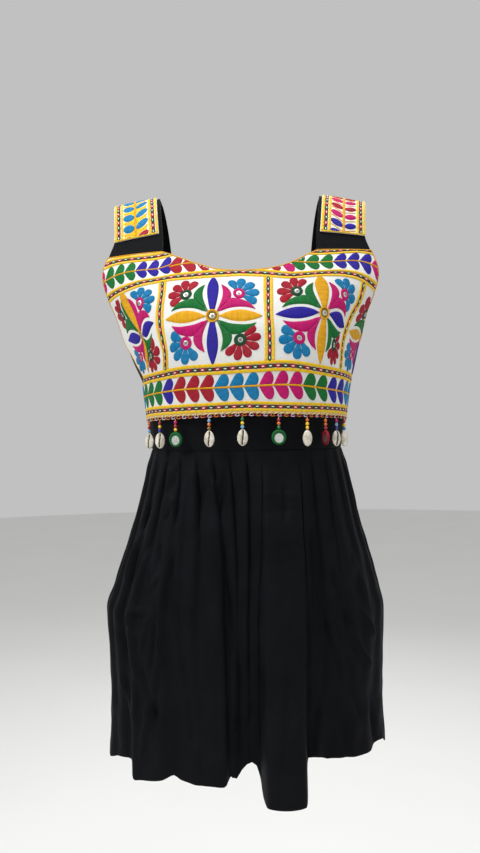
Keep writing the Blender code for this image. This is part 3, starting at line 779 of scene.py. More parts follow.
def pleat_relief(column, down, back):
    """Knife pleats from 0 to 1: a slow rise to the fold edge, and a drop behind it that softens downwards."""
    phase = (column + 1.0) / 2.0 * PLEATS_A_HALF - PLEAT_OFFSET
    toward_left = (phase > BOX_PLEATS[0]) | back
    place = np.where(toward_left, 1.0 - phase % 1.0, phase % 1.0)
    rise = lerp(PLEAT_RISE_AT_WAIST, PLEAT_RISE_AT_HEM, ease(down * RISE_SHIFTS))
    profile = np.where(place <= rise, place / rise, (1.0 - place) / (1.0 - rise))
    profile = lerp(profile, ease(profile), ease(down * EDGE_SOFTENS))
    pleats = BACK_PLEATS if back else FRONT_PLEATS
    index = np.broadcast_to(np.clip(np.floor(phase).astype(int) + 1, 0, len(pleats) - 1), profile.shape)
    waist, middle, hem = (np.array(values)[index] for values in zip(*pleats))
    strength = np.where(down < 0.5, lerp(waist, middle, ease(down * 2)), lerp(middle, hem, ease(down * 2 - 1)))
    in_box = (phase >= BOX_PLEATS[0]) & (phase <= BOX_PLEATS[1]) & (not back)
    return np.where(in_box, 1.0, profile * strength + (1.0 - strength) * 0.5)


def skirt_lattice(back):
    """Points of a skirt panel, from the hem up to the waist seam."""
    folds = BACK_FOLDS if back else FRONT_FOLDS
    form = SKIRT_FORMS[back]
    column = np.linspace(-1.0, 1.0, PLEATS_A_HALF * COLUMNS_A_PLEAT + 1)[None, :]
    down = np.linspace(1.0, 0.0, SKIRT_ROWS_FINE + 1)[:, None]
    at_hem = between(BACK_LINES if back else FRONT_LINES, column)
    spread = np.sin(math.radians(90.0) * np.minimum(down / LINES_REACH_HEM_SHARE, 1.0))
    share = lerp(column, at_hem, spread)
    drop = sum(fold.drop * plateau(column, fold) for fold in folds)
    if not back:
        drop = drop + between(FRONT_HEM, column)
    z = lerp(WAIST_Z - GAP, SKIRT_HEM_Z - drop, down)
    out = pleat_relief(column, down, back) * PLEAT_OUT(down)
    out = out + sum(fold.height * crown(column, fold) for fold in folds) * down**FOLD_GROWTH
    flat = share * form.length(z)
    calm = ease(down / CALM_BELOW_WAIST) * ease((1.0 - np.abs(column)) / CALM_BY_SIDE_SEAM)
    out = out + (crease_relief(BACK_CREASES if back else FRONT_CREASES, flat, z) + ripples(flat, z)) * calm
    before = form.point(z, np.maximum(share - SHARE_STEP, -1.0))
    after = form.point(z, np.minimum(share + SHARE_STEP, 1.0))
    along = after - before
    outward = np.stack([along[..., 1], -along[..., 0], np.zeros_like(along[..., 0])], axis=-1)
    outward /= np.linalg.norm(outward, axis=-1, keepdims=True)
    return form.point(z, share) + outward * out[..., None]


def make_skirt(node, back):
    lattice = skirt_lattice(back)
    lattice[:, [0, -1], 1] = math.copysign(SEAM_GAP / 2, back - 0.5)
    outer = lattice + BLACK_WALL * normals_of(lattice)
    outer[-1, :, 2] = lattice[-1, :, 2]
    outer[:, [0, -1], 1] = lattice[:, [0, -1], 1]
    cloth_piece(wall(f"{node}_cloth", lattice, outer, BLACK), node)


# Embroidered cloth

class Cloth:
    """A cloth surface laid flat: s runs across from its centre and t up from its lower edge, in metres."""

    def __init__(self, s, t, points, margin):
        self.s, self.t, self.points = s, t, points
        self.normals = normals_of(points)
        self.margin = margin

    def rows_and_columns(self, s, t):
        row = (t - self.t[0]) / (self.t[-1] - self.t[0]) * (len(self.t) - 1)
        column = (s - self.s[0]) / (self.s[-1] - self.s[0]) * (len(self.s) - 1)
        return row, column

    def at(self, s, t, height):
        row, column = self.rows_and_columns(s, t)
        return grid_lookup(self.points, row, column) + grid_lookup(self.normals, row, column) * height[..., None]

    def inside(self, s, t):
        """How far a place lies inside the cloth's edge."""
        return grid_lookup(self.margin, *self.rows_and_columns(s, t))


YOKE_REACH = 0.225
YOKE_TALL = 0.216
YOKE_FREE_LEVELS = 60
HEM_SAMPLES = 300
FORM_ROWS = 220
FLAT_COLUMNS = 361
FLAT_ROWS = 240


def yoke_hem(share):
    """Height of the embroidered front's hem at a share of the half section."""
    return lerp(YOKE_HEM_FRONT_Z, YOKE_HEM_SIDE_Z, np.abs(share) ** YOKE_HEM_ROUNDNESS)


def yoke_cloth(lift):
    """Outer face of the embroidered front's ground cloth."""
    form = BODICE_FORMS[False]
    shares = np.linspace(0.0, 1.0, HEM_SAMPLES)
    hems = yoke_hem(shares)
    s = np.linspace(-YOKE_REACH, YOKE_REACH, FLAT_COLUMNS)
    hem = np.interp(np.abs(s), shares * form.length(hems), hems)
    z = lerp(hem[None, :], YOKE_TOP_Z, np.linspace(0.0, 1.0, FORM_ROWS)[:, None])
    bare = form.point(z, np.broadcast_to(s, z.shape) / form.length(z))
    tall = np.stack([distances(bare[:, i]) for i in range(FLAT_COLUMNS)], axis=1)
    t = np.linspace(0.0, YOKE_TALL, FLAT_ROWS)
    height = np.array([np.interp(t, tall[:, i], z[:, i]) for i in range(FLAT_COLUMNS)]).T
    flat = np.broadcast_to(s, height.shape)
    share = flat / form.length(height)
    edge = ARMHOLE_EDGE[False](height) - yoke_short(height, flat)
    beyond = np.clip((np.abs(share) - STRAP_SHARE) / (edge - STRAP_SHARE), 0.0, 1.0)
    column = np.where(np.abs(share) <= STRAP_SHARE, share / STRAP_SHARE, np.copysign(1.0 + beyond, share))
    bare = form.point(height, share)
    points = bare + normals_of(bare) * (BLACK_WALL + GAP + lift + yoke_hang(height, share))[..., None]
    margin = np.minimum((edge - np.abs(share)) * form.length(height), yoke_top(column) - height)
    return Cloth(s, t, points, np.minimum(margin, tall[-1][None, :] - t[:, None]))


def make_yoke():
    """Ground cloth of the embroidered front. Returns its inner and outer points for the trims."""
    columns = panel_columns(CENTRE_COLUMNS, STRAP_COLUMNS)[None, :]
    top = yoke_top(columns)
    hem_level = (yoke_hem(panel_share(columns, 1.0)) - WAIST_Z) / (top - WAIST_Z)
    z = lerp(WAIST_Z, top, lerp(hem_level, 1.0, np.linspace(0.0, 1.0, YOKE_FREE_LEVELS)[:, None]))
    share = panel_share(columns, ARMHOLE_EDGE[False](z) - yoke_short(z, columns))
    bare = BODICE_FORMS[False].point(z, share)
    normals = normals_of(bare)
    inner = bare + normals * (BLACK_WALL + GAP + yoke_hang(z, share))[..., None]
    outer = inner + normals * EMBROIDERED_WALL
    piece = wall("yoke_front_cloth", inner, outer, WHITE)
    cloth_piece(piece, "yoke_front")
    return inner, outer


# Raised thread

# Where the worn cloth carries parts of the embroidery, in mm: their flat place, and how far across and up
BLOCK_PINS = table(
    "s t across up",
    (-227, 160, 45, -6), (-227, 54, 75, 0), (-200, 156, 42, -6), (-193, 134, 39, 0), (-188, 106, 57, -8),
    (-172, 145, 22, 5), (-163, 160, 17, -6), (-163, 133, 25, -4), (-163, 106, 42, -7), (-163, 80, 45, 1),
    (-163, 54, 42, 3), (-154, 145, 15, 5), (-142, 127, 19, -3), (-133, 156, 14, -2), (-133, 134, 11, 5),
    (-132, 79, 21, -5), (-135, 57, 21, 0), (-115, 115, 8, 3), (-115, 98, 9, 1), (-113, 142, 12, 0),
    (-112, 75, 16, -4), (-108, 106, 4, 6), (-99, 160, 9, -3), (-99, 108, 6, 1), (-99, 54, 7, 3),
    (-90, 106, 4, 5), (-82, 115, 4, 5), (-65, 134, 4, 3), (-44, 145, 4, 4), (-35, 160, 5, -3),
    (-35, 106, 4, 2), (-35, 54, 1, 2), (-26, 145, 6, 3), (-4, 134, 3, 0), (12, 115, 5, 1),
    (20, 106, 6, 1), (29, 160, 4, -3), (29, 106, 2, 2), (29, 54, 0, 6), (38, 106, 2, 4), (45, 115, 2, 4),
    (62, 134, 3, 6), (84, 145, 0, 8), (93, 160, 0, 1), (93, 106, 6, 11), (93, 54, -5, 5),
    (102, 145, 2, 11), (123, 134, 3, 10), (140, 115, -12, 4), (148, 106, -21, -2), (157, 160, -6, 4),
    (157, 139, -8, 0), (157, 123, -19, 0), (157, 105, -28, 0), (157, 88, -32, 0), (157, 54, -37, 1),
    (166, 106, -27, -3), (221, 160, -10, 2), (221, 54, -62, 0),
)
BAND_RISES = {
    0: ((-225, 0), (-110, 0), (0, 0), (110, 0), (225, 0)),
    47: (
        (-225, 0), (-130, 1), (-99, 2), (-70, 4), (-40, 3), (-9, 3), (16, 4), (32, 6), (52, 7), (78, 5),
        (106, 3), (160, 1), (225, 1),
    ),
    166: (
        (-225, -5), (-171, -5), (-138, -6), (-114, -4), (-84, -3), (-59, -3), (-16, -2), (15, -2), (36, -3),
        (60, -5), (75, -2), (94, 1), (116, 4), (138, 5), (154, 4), (170, 1), (225, 0),
    ),
    189: (
        (-168, -9), (-139, -9), (-112, -11), (-94, -13), (-76, -5), (-40, -2), (30, -2), (66, -7), (94, -7),
        (120, -3), (146, 2), (165, 2),
    ),
    210: (
        (-225, -8), (-161, -10), (-124, -14), (-94, -13), (0, 0), (88, -12), (127, -7), (154, -2), (225, 0),
    ),
}
BAND_PINS = [(s, t, 0, up) for t, rises in BAND_RISES.items() for s, up in rises]


PIN_SLACK = 400.0
RUN_SPACING = 0.002

# How high each kind of stitching stands on the cloth, how deep its edges sink and how far from the cloth's edge it ends
BED_STITCH = 0.0003
FLAT_STITCH = 0.0006
LOW_STITCH = 0.0007
STITCH = 0.0008
TALL_STITCH = 0.0009
STEM_STITCH = 0.0010
STRAP_STEM_STITCH = 0.0011
RAISED_RING = 0.0012
SUNK = -0.0002
EDGE_KEPT = 0.0004
RING_STEPS = 28
LENS_FULLNESS = 0.85
THINNEST = 0.00012


def drift_between(pins):
    """Function that moves flat places as smoothly as a bent thin plate through the pins would."""
    pinned = np.array(pins, float)
    places, moves = pinned[:, :2], pinned[:, 2:]
    count = len(pinned)

    def bending(s, t):
        square = (s[..., None] - places[:, 0]) ** 2 + (t[..., None] - places[:, 1]) ** 2
        return square * np.log(np.maximum(square, TINY))

    system = np.zeros((count + 3, count + 3))
    system[:count, :count] = bending(places[:, 0], places[:, 1]) + np.eye(count) * PIN_SLACK
    system[:count, count] = system[count, :count] = 1.0
    system[:count, count + 1 :] = places
    system[count + 1 :, :count] = places.T
    weights = np.linalg.solve(system, np.concatenate([moves, np.zeros((3, 2))]))

    def move(flat):
        s, t = flat[..., 0] / MM, flat[..., 1] / MM
        terms = np.concatenate([bending(s, t), np.ones(s.shape + (1,)), s[..., None], t[..., None]], axis=-1)
        return flat + terms @ weights * MM

    return move


BLOCK_DRIFT = drift_between(BLOCK_PINS)
BAND_DRIFT = drift_between(BAND_PINS)


class Embroidery:
    """Raised thread on one cloth, laid out flat and joined into one mesh."""

    def __init__(self, cloth, drift=None):
        self.cloth, self.drift = cloth, drift
        self.points, self.faces, self.uv, self.finishes = [], [], [], []
        self.count = 0

    def ribbon(self, left, right, thread_name, height=STITCH, across=7, closed=False, base=SUNK, keep=EDGE_KEPT):
        """Domed patch between two edges of flat points, with its thread running across."""
        v = np.linspace(0.0, 1.0, across)
        flat = lerp(left[:, None, :], right[:, None, :], v[None, :, None])
        dome = np.sqrt(np.maximum(1.0 - (2.0 * v - 1.0) ** 4, 0.0))[None, :]
        rise = np.ones((len(left), 1))
        if not closed:
            rise[0] = rise[-1] = 0.0
        relief = base + (height - base) * dome * rise
        worn = self.drift(flat) if self.drift else flat
        margin = self.cloth.inside(worn[..., 0], worn[..., 1])
        if margin.max() < keep:
            return
        width = np.linalg.norm(right - left, axis=1)
        along = distances((left + right) / 2)
        uv = np.stack(np.broadcast_arrays(along[:, None], (v[None, :] - 0.5) * width[:, None]), axis=-1)
        number = np.arange(len(left) * across).reshape(len(left), across)
        quads = quads_of(number)[quads_of(margin).min(axis=-1) >= keep]
        if self.clockwise(worn):
            quads = quads[:, ::-1]
        self.points.append(self.cloth.at(worn[..., 0], worn[..., 1], relief).reshape(-1, 3))
        self.uv.append(uv.reshape(-1, 2))
        self.faces.append(quads + self.count)
        self.finishes.append(np.full(len(quads), THREAD_NAMES.index(thread_name)))
        self.count += number.size

    @staticmethod
    def clockwise(flat):
        """Whether the patch's quads, row by row, turn clockwise when laid flat."""
        first = flat[:-1, 1:] - flat[:-1, :-1]
        second = flat[1:, :-1] - flat[:-1, :-1]
        return (first[..., 0] * second[..., 1] - first[..., 1] * second[..., 0]).sum() < 0

    def stroke(self, spine, half_widths, thread_name, **options):
        """Ribbon of changing width along a line of flat points."""
        direction = np.gradient(spine, axis=0)
        direction /= np.linalg.norm(direction, axis=1, keepdims=True)
        beside = np.stack([-direction[:, 1], direction[:, 0]], axis=1) * np.asarray(half_widths)[:, None]
        self.ribbon(spine + beside, spine - beside, thread_name, **options)

    def line(self, start, end, half_width, thread_name, **options):
        """Straight ribbon of even width."""
        spine = run(start, end)
        self.stroke(spine, np.full(len(spine), half_width), thread_name, **options)

    def ring(self, centre, inner, outer, thread_name, height=TALL_STITCH):
        turn = np.linspace(0.0, 2.0 * math.pi, RING_STEPS + 1)
        circle = np.stack([np.cos(turn), np.sin(turn)], axis=1)
        self.ribbon(centre + circle * outer, centre + circle * inner, thread_name, height=height, closed=True)

    def piece(self, name, sharp_angle=70):
        used, index = np.unique(np.concatenate(self.faces), return_inverse=True)
        points, uv = np.concatenate(self.points)[used], np.concatenate(self.uv)[used]
        threads = [THREAD_MATERIALS[thread_name] for thread_name in THREAD_NAMES]
        faces = index.reshape(-1, 4).tolist()
        return mesh_object(name, points, faces, threads, np.concatenate(self.finishes), uv, sharp_angle)


def bezier(start, bend, end, count):
    u = np.linspace(0.0, 1.0, count)[:, None]
    return (1 - u) ** 2 * np.array(start) + 2 * u * (1 - u) * np.array(bend) + u**2 * np.array(end)


def through(points, count):
    """Smooth line of flat points through a few given ones."""
    points = np.array(points, float)
    places = distances(points)
    tangents = np.gradient(points, places, axis=0)
    at = np.linspace(0.0, places[-1], count)
    i = np.clip(np.searchsorted(places, at) - 1, 0, len(places) - 2)
    width = (places[i + 1] - places[i])[:, None]
    t = (at[:, None] - places[i][:, None]) / width
    return hermite(t, points[i], points[i + 1], tangents[i] * width, tangents[i + 1] * width)


def lens(count, half_width):
    """Half widths of a shape that is pointed at both ends."""
    u = np.linspace(0.0, 1.0, count)
    return np.maximum(half_width * np.sin(math.pi * u) ** LENS_FULLNESS, THINNEST)


# Embroidered blocks and borders, in metres across from the centre front and up from the hem
BLOCK_CENTRES = (-0.163, -0.035, 0.093, 0.221)
BLOCK_HALF_TALL = 0.0530
BLOCK_MIDDLE_T = 0.1065
UPRIGHT_HALVES = (0.0120, 0.0068, 0.0083, 0.0074)
UPRIGHT_FULLNESS = 0.9
UPRIGHT_ROOT = 0.42
UPRIGHT_LOW_END = 0.10
UPRIGHT_HIGH_END = 0.30
LEVEL_HALF = 0.0076
LEVEL_LONGER = 1.05
STAR_START = 0.0068
STAR_POINTS = 56
STAR_BED_RING = (0.0028, 0.0056)
STAR_RING = (0.0052, 0.0074)
STAR_MIRROR = 0.0030
# The lowest border follows the hem, and the others drift with the cloth
BORDERS_T = (0.0004, 0.0415, 0.1600, 0.2040)
UPRIGHTS = (-0.099, 0.029, 0.157)
UPRIGHT_LOW_T = 0.0515
UPRIGHT_HIGH_T = 0.1620
BORDER_WIDE = 0.0120
LINE_WIDE = 0.0038
CHAIN_WIDE = 0.0050
CHAIN_PITCH = 0.0084
LINK_OVERLAP = 0.08
LINK_HEART = 0.26
LINK_HEART_SHARE = 0.20
LINK_HEART_STITCH = 0.00115
LINK_HEART_BASE = 0.0004

# A quarter of the fishtail leaf, in mm from the block's middle: each lobe's edge by the petal and its outer edge
FISHTAIL_UP = (
    ((4.4, 4.8), (7.6, 12.4), (10.0, 20.5), (10.6, 28.0), (9.6, 34.4), (8.6, 39.4)),
    ((4.4, 4.8), (14.0, 13.6), (21.6, 21.6), (21.4, 27.8), (17.2, 34.2), (8.6, 39.4)),
)
FISHTAIL_OUT = (
    ((4.8, 4.4), (11.0, 5.6), (17.5, 7.8), (26.0, 9.3), (38.0, 9.8), (48.2, 8.0)),
    ((4.8, 4.4), (13.6, 14.0), (21.6, 21.6), (31.0, 20.8), (41.0, 16.8), (48.2, 8.0)),
)
FISHTAIL_POINTS = 34
# Flowers: their place in a block's quarter in mm, and their petals' number, spread in degrees and half width
FLOWER_PLACE = (30.5, 27.8)
FLOWER = (5, 152.0, 0.0060)
FULL_FLOWER = (6, 176.0, 0.0054)
FLOWER_RING = (0.0026, 0.0074)
FLOWER_MIRROR = 0.0029
PETAL_START = 0.0064
PETAL_TIP = 0.0238
OUTER_PETAL_TIP = 0.0226
PETAL_POINTS = 18
PETAL_ROOT = 0.42
PETAL_WIDEST = 0.64



def petal(half_width):
    """Half widths of a petal: narrow at its root, widest near its end, which is round."""
    u = np.linspace(0.0, 1.0, PETAL_POINTS)
    rising = lerp(PETAL_ROOT, 1.0, ease(u / PETAL_WIDEST))
    past = np.maximum(u - PETAL_WIDEST, 0.0) / (1.0 - PETAL_WIDEST)
    return np.maximum(half_width * rising * np.sqrt(np.maximum(1.0 - past**2, 0.0)), THINNEST)


def fishtail(work, centre, corner, thread_name):
    for edges in (FISHTAIL_UP, FISHTAIL_OUT):
        near, far = (through(edge, FISHTAIL_POINTS) * corner * MM + centre for edge in edges)
        work.ribbon(near, far, thread_name)


def flower(work, mirrors, centre, corner, petal_thread, ring_thread):
    """Half-round flower whose petals fan towards the block's corner, with a mirror in its thread ring."""
    heart = centre + np.array(FLOWER_PLACE) * corner * MM
    petals, spread, half = FULL_FLOWER if corner == (1, -1) else FLOWER
    facing = math.atan2(corner[1], corner[0])
    for i in range(petals):
        turn = facing + math.radians(lerp(-spread / 2, spread / 2, i / (petals - 1)))
        ray = np.array([math.cos(turn), math.sin(turn)])
        tip = PETAL_TIP if 0 < i < petals - 1 else OUTER_PETAL_TIP
        work.stroke(heart + ray * np.linspace(PETAL_START, tip, PETAL_POINTS)[:, None], petal(half), petal_thread)
    work.ring(heart, *FLOWER_RING, ring_thread)
    mirrors.append((heart, FLOWER_MIRROR))


def block(work, mirrors, centre_s, upright_thread, level_thread, upright_half):
    """Square with a four-petalled star, fishtail leaves between its petals and a flower in each corner."""
    centre = np.array([centre_s, BLOCK_MIDDLE_T])
    reach = np.linspace(STAR_START, BLOCK_HALF_TALL, STAR_POINTS)
    along = np.linspace(0.0, 1.0, STAR_POINTS)
    bulge = np.sin(math.pi * along) ** UPRIGHT_FULLNESS
    for sign, end in ((-1.0, UPRIGHT_LOW_END), (1.0, UPRIGHT_HIGH_END)):
        blunt = lerp(UPRIGHT_ROOT, end, along)
        wide = upright_half * (blunt + (1.0 - blunt) * bulge)
        work.stroke(centre + np.outer(sign * reach, (0.0, 1.0)), wide, upright_thread, height=TALL_STITCH)
        level = centre + np.outer(sign * reach * LEVEL_LONGER, (1.0, 0.0))
        work.stroke(level, lens(STAR_POINTS, LEVEL_HALF), level_thread, height=TALL_STITCH)
    for corner in ((-1, 1), (1, 1), (-1, -1), (1, -1)):
        warm = corner[0] * corner[1] < 0
        fishtail(work, centre, corner, "green" if warm else "magenta")
        flower(work, mirrors, centre, corner, *(("crimson", "dark_green") if warm else ("teal", "magenta")))
    work.ring(centre, *STAR_BED_RING, "olive", height=LOW_STITCH)
    work.ring(centre, *STAR_RING, "golden", height=RAISED_RING)
    mirrors.append((centre, STAR_MIRROR))


def run(start, end):
    """Evenly spaced flat points between two places."""
    start, end = np.array(start, float), np.array(end, float)
    count = max(int(np.linalg.norm(end - start) / RUN_SPACING), 2) + 1
    return lerp(start[None, :], end[None, :], np.linspace(0.0, 1.0, count)[:, None])


def chain(work, start, end, pitch=CHAIN_PITCH):
    """Row of lens-shaped links on a dark red bed, in turn dark green and crimson, each with a white middle."""
    start, end = np.array(start, float), np.array(end, float)
    work.line(start, end, CHAIN_WIDE / 2, "dark_red", height=BED_STITCH, across=5)
    count = max(int(round(np.linalg.norm(end - start) / pitch)), 1)
    for i in range(count):
        low = lerp(start, end, i / count)
        step = lerp(start, end, (i + 1) / count) - low
        link = low + step * np.linspace(-LINK_OVERLAP, 1.0 + LINK_OVERLAP, 11)[:, None]
        work.stroke(link, lens(11, CHAIN_WIDE / 2), "crimson" if i % 2 else "dark_green", across=5)
        heart = low + step * np.linspace(LINK_HEART, 1.0 - LINK_HEART, 7)[:, None]
        half = lens(7, CHAIN_WIDE * LINK_HEART_SHARE)
        work.stroke(heart, half, "white", height=LINK_HEART_STITCH, across=5, base=LINK_HEART_BASE)


def border(work, start, end, inward):
    """Border of a chain between two yellow lines, between two places on its lower or left edge."""
    start, end, inward = (np.array(place, float) for place in (start, end, inward))
    for offset in (LINE_WIDE / 2, BORDER_WIDE - LINE_WIDE / 2):
        work.line(start + inward * offset, end + inward * offset, LINE_WIDE / 2, "yellow")
    middle = inward * BORDER_WIDE / 2
    chain(work, start + middle, end + middle)


# A leaf's two edges from its root on the stem to its round end, in mm along the stem and away from it
LEAF_NEAR = ((0.0, 0.6), (1.6, 4.4), (4.4, 9.8), (7.4, 13.4), (9.6, 14.6), (11.6, 15.0))
LEAF_FAR = ((0.0, 0.6), (7.0, 0.6), (14.6, 0.8), (16.7, 5.2), (16.4, 10.8), (14.2, 14.2), (11.6, 15.0))
LEAF_PITCH = 0.0163
LEAF_POINTS = 22
LEAF_STEM_HALF = 0.0013


def leaf_band(work, band):
    """Pairs of slanted leaves on a golden stem."""
    start, end = np.array([band.start, band.t]), np.array([band.end, band.t])
    size = np.array([band.pitch / LEAF_PITCH, 1.0]) * MM
    near, far = (through(edge, LEAF_POINTS) * size for edge in (LEAF_NEAR, LEAF_FAR))
    for i, thread_name in enumerate(band.threads):
        root = start + (band.pitch * i, 0.0)
        for side in (-1.0, 1.0):
            work.ribbon(root + near * (1.0, side), root + far * (1.0, side), thread_name)
    work.line(start, end, LEAF_STEM_HALF, "golden", height=STEM_STITCH, across=5)


# Leaf bands in metres, with the thread of each pair of leaves
LEAF_BANDS = table(
    "start end t pitch threads",
    (
        -0.2300, 0.2400, 0.0272, LEAF_PITCH,
        ["crimson"] * 2 + ["teal"] * 3 + ["green"] * 3 + ["blue"] + ["crimson"] * 3 + ["teal"] * 3
        + ["magenta"] * 3 + ["green"] * 2 + ["blue"] * 2 + ["teal"] * 3 + ["crimson"] * 3,
    ),
    (-0.1986, -0.0800, 0.1890, 0.0148, ["magenta"] * 2 + ["green"] * 3 + ["blue"] * 3),
    (
        -0.0835, 0.0560, 0.1855, 0.0164,
        ["crimson"] * 3 + ["teal", "golden", "teal", "crimson", "crimson", "magenta"],
    ),
    (0.0595, 0.2200, 0.1890, 0.0170, ["green"] * 3 + ["blue"] * 3 + ["magenta"] * 2),
)


def yoke_embroidery(cloth):
    """Blocks, borders and leaf bands of the embroidered front, and the places of its mirrors."""
    mirrors = []
    motifs = Embroidery(cloth, BLOCK_DRIFT)
    for i, (centre, half) in enumerate(zip(BLOCK_CENTRES, UPRIGHT_HALVES)):
        upright, level = ("blue", "golden") if i % 2 else ("golden", "blue")
        block(motifs, mirrors, centre, upright, level, half)
    leaves = Embroidery(cloth, BAND_DRIFT)
    for band in LEAF_BANDS:
        leaf_band(leaves, band)
    borders = Embroidery(cloth)
    for t in BORDERS_T:
        border(borders, (-YOKE_REACH, t), (YOKE_REACH, t), (0.0, 1.0))
        borders.drift = BAND_DRIFT
    borders.drift = BLOCK_DRIFT
    for place in UPRIGHTS:
        left = place - BORDER_WIDE / 2
        border(borders, (left, UPRIGHT_LOW_T), (left, UPRIGHT_HIGH_T), (1.0, 0.0))
    return motifs, leaves, borders, [(BLOCK_DRIFT(centre), radius) for centre, radius in mirrors]


def turns_of(count):
    """Angles of an even circle."""
    return np.arange(count) * 2.0 * math.pi / count


FLAT_MIRROR_SIDES = 16
# Share of a flat mirror's radius that its painted dark reflection covers
FLAT_MIRROR_MIDDLE = 0.6
FLAT_MIRROR_HEIGHTS = (0.00085, 0.00080, 0.00045)
MIRROR_KEPT = 0.002


def make_mirrors(name, cloth, mirrors):
    """Small round mirrors set in their thread rings, with a painted dark reflection over their middle."""
    points, faces, finishes, count = [], [], [], 0
    sides = FLAT_MIRROR_SIDES
    circle = np.stack([np.cos(turns_of(sides)), np.sin(turns_of(sides))], axis=1)
    middle_z, inner_z, edge_z = FLAT_MIRROR_HEIGHTS
    height = np.concatenate([[middle_z], np.full(sides, inner_z), np.full(sides, edge_z)])
    for centre, radius in mirrors:
        if cloth.inside(centre[:1], centre[1:])[0] < MIRROR_KEPT:
            continue
        flat = np.concatenate([[centre], centre + circle * radius * FLAT_MIRROR_MIDDLE, centre + circle * radius])
        points.append(cloth.at(flat[:, 0], flat[:, 1], height))
        for i in range(sides):
            inner, after = count + 1 + i, count + 1 + (i + 1) % sides
            faces += [[count, inner, after], [inner, inner + sides, after + sides, after]]
            # The middle fan gets the painted dark reflection, the ring round it the mirror glass
            finishes += [1, 0]
        count += 2 * sides + 1
    return mesh_object(name, np.concatenate(points), faces, [MIRROR, MIRROR_PAINTED_DARK_REFLECTION], finishes, sharp_angle=60)


def tube(points, radius, sides=6, closed=False, up=(0.0, 0.0, 1.0)):
    """Points and faces of a round tube along a line in space."""
    points = np.asarray(points, float)
    if closed:
        forward = np.roll(points, -1, axis=0) - np.roll(points, 1, axis=0)
    else:
        forward = np.gradient(points, axis=0)
    forward /= np.linalg.norm(forward, axis=1, keepdims=True)
    side = np.cross(forward, np.broadcast_to(up, forward.shape))
    side /= np.maximum(np.linalg.norm(side, axis=1, keepdims=True), TINY)
    over = np.cross(side, forward)
    turns = turns_of(sides)
    radius = np.broadcast_to(radius, (len(points),))
    ring = np.cos(turns)[None, :, None] * side[:, None, :] + np.sin(turns)[None, :, None] * over[:, None, :]
    skin = points[:, None, :] + ring * radius[:, None, None]
    number = np.arange(len(points) * sides).reshape(len(points), sides)
    faces = quads_of(np.pad(number, ((0, int(closed)), (0, 1)), mode="wrap")).reshape(-1, 4).tolist()
    if not closed:
        faces += [number[0].tolist()[::-1], number[-1].tolist()]
    return skin.reshape(-1, 3), faces


class Bundle:
    """Tubes and other small shapes joined into one mesh with several finishes."""

    def __init__(self, *finishes):
        self.finishes = finishes
        self.points, self.faces, self.index = [], [], []
        self.count = 0

    def add(self, points, faces, finish=0):
        self.points.append(np.asarray(points))
        self.faces += [[corner + self.count for corner in face] for face in faces]
        self.index += [finish] * len(faces)
        self.count += len(points)

    def piece(self, name):
        return mesh_object(name, np.concatenate(self.points), self.faces, self.finishes, self.index)


# Stage

CAMERA_DISTANCE = 0.95
CAMERA_HEIGHT = -0.285
CAMERA_AZIMUTH = 0.77
CAMERA_ROLL = -0.82
FOCAL_PIXELS = 742.0
IMAGE_TALL = 853.0
SENSOR_MM = 36.0
CENTRE_OFFSET_PIXELS = 2.9


def add_to_scene(name, data):
    thing = bpy.data.objects.new(name, data)
    bpy.context.scene.collection.objects.link(thing)
    return thing


def make_camera():
    data = bpy.data.cameras.new("photo_view")
    data.sensor_width = SENSOR_MM
    data.sensor_fit = "AUTO"
    data.lens = FOCAL_PIXELS / IMAGE_TALL * SENSOR_MM
    data.shift_x = -CENTRE_OFFSET_PIXELS / IMAGE_TALL
    camera = add_to_scene("photo_view", data)
    turn, roll = math.radians(CAMERA_AZIMUTH), math.radians(CAMERA_ROLL)
    place = Vector((math.sin(turn), -math.cos(turn), 0.0)) * CAMERA_DISTANCE + Vector((0.0, 0.0, CAMERA_HEIGHT))
    level = Matrix.Rotation(turn, 4, "Z") @ Matrix.Rotation(math.radians(90.0), 4, "X")
    camera.matrix_world = Matrix.Translation(place) @ level @ Matrix.Rotation(roll, 4, "Z")
    bpy.context.scene.camera = camera


# Soft lights: place, size and power in watts
LAMPS = table(
    "name place size power",
    ("key", (-1.5, -1.1, 1.2), 1.0, 32.0),
    ("fill", (1.7, -1.6, 0.3), 1.8, 4.0),
    ("top", (0.1, -0.5, 1.7), 1.4, 34.0),
    ("back", (0.4, 2.0, 0.9), 1.8, 20.0),
)
LAMPS_AIM = (0.0, 0.0, -0.33)
FLOOR_Z = -1.40
FLOOR_RADIUS = 9.0
FLOOR_COLOURS = ((0.80, 0.80, 0.79, 1.0), (0.85, 0.85, 0.84, 1.0))
WORLD_COLOUR = (0.93, 0.935, 0.93, 1.0)
WORLD_LIGHT = 0.57


def make_stage():
    floor_mesh = bpy.data.meshes.new("floor")
    bm = bmesh.new()
    bmesh.ops.create_circle(bm, cap_ends=True, segments=64, radius=FLOOR_RADIUS)
    bm.transform(Matrix.Translation((0.0, 0.0, FLOOR_Z)))
    bm.to_mesh(floor_mesh)
    bm.free()
    floor_mesh.materials.append(clouded("pale_floor", 2.0, 3.0, *FLOOR_COLOURS, Roughness=0.8))
    add_to_scene("floor", floor_mesh)
    for lamp in LAMPS:
        data = bpy.data.lights.new(lamp.name, "AREA")
        data.shape = "DISK"
        data.size = lamp.size
        data.energy = lamp.power
        place = Vector(lamp.place)
        facing = (Vector(LAMPS_AIM) - place).to_track_quat("-Z", "Y").to_matrix().to_4x4()
        add_to_scene(lamp.name, data).matrix_world = Matrix.Translation(place) @ facing
    world = bpy.data.worlds.new("studio")
    world.use_nodes = True
    background = world.node_tree.nodes["Background"]
    background.inputs["Color"].default_value = WORLD_COLOUR
    background.inputs["Strength"].default_value = WORLD_LIGHT
    bpy.context.scene.world = world
    bpy.context.scene.view_settings.view_transform = "Standard"


# Lace and danglers

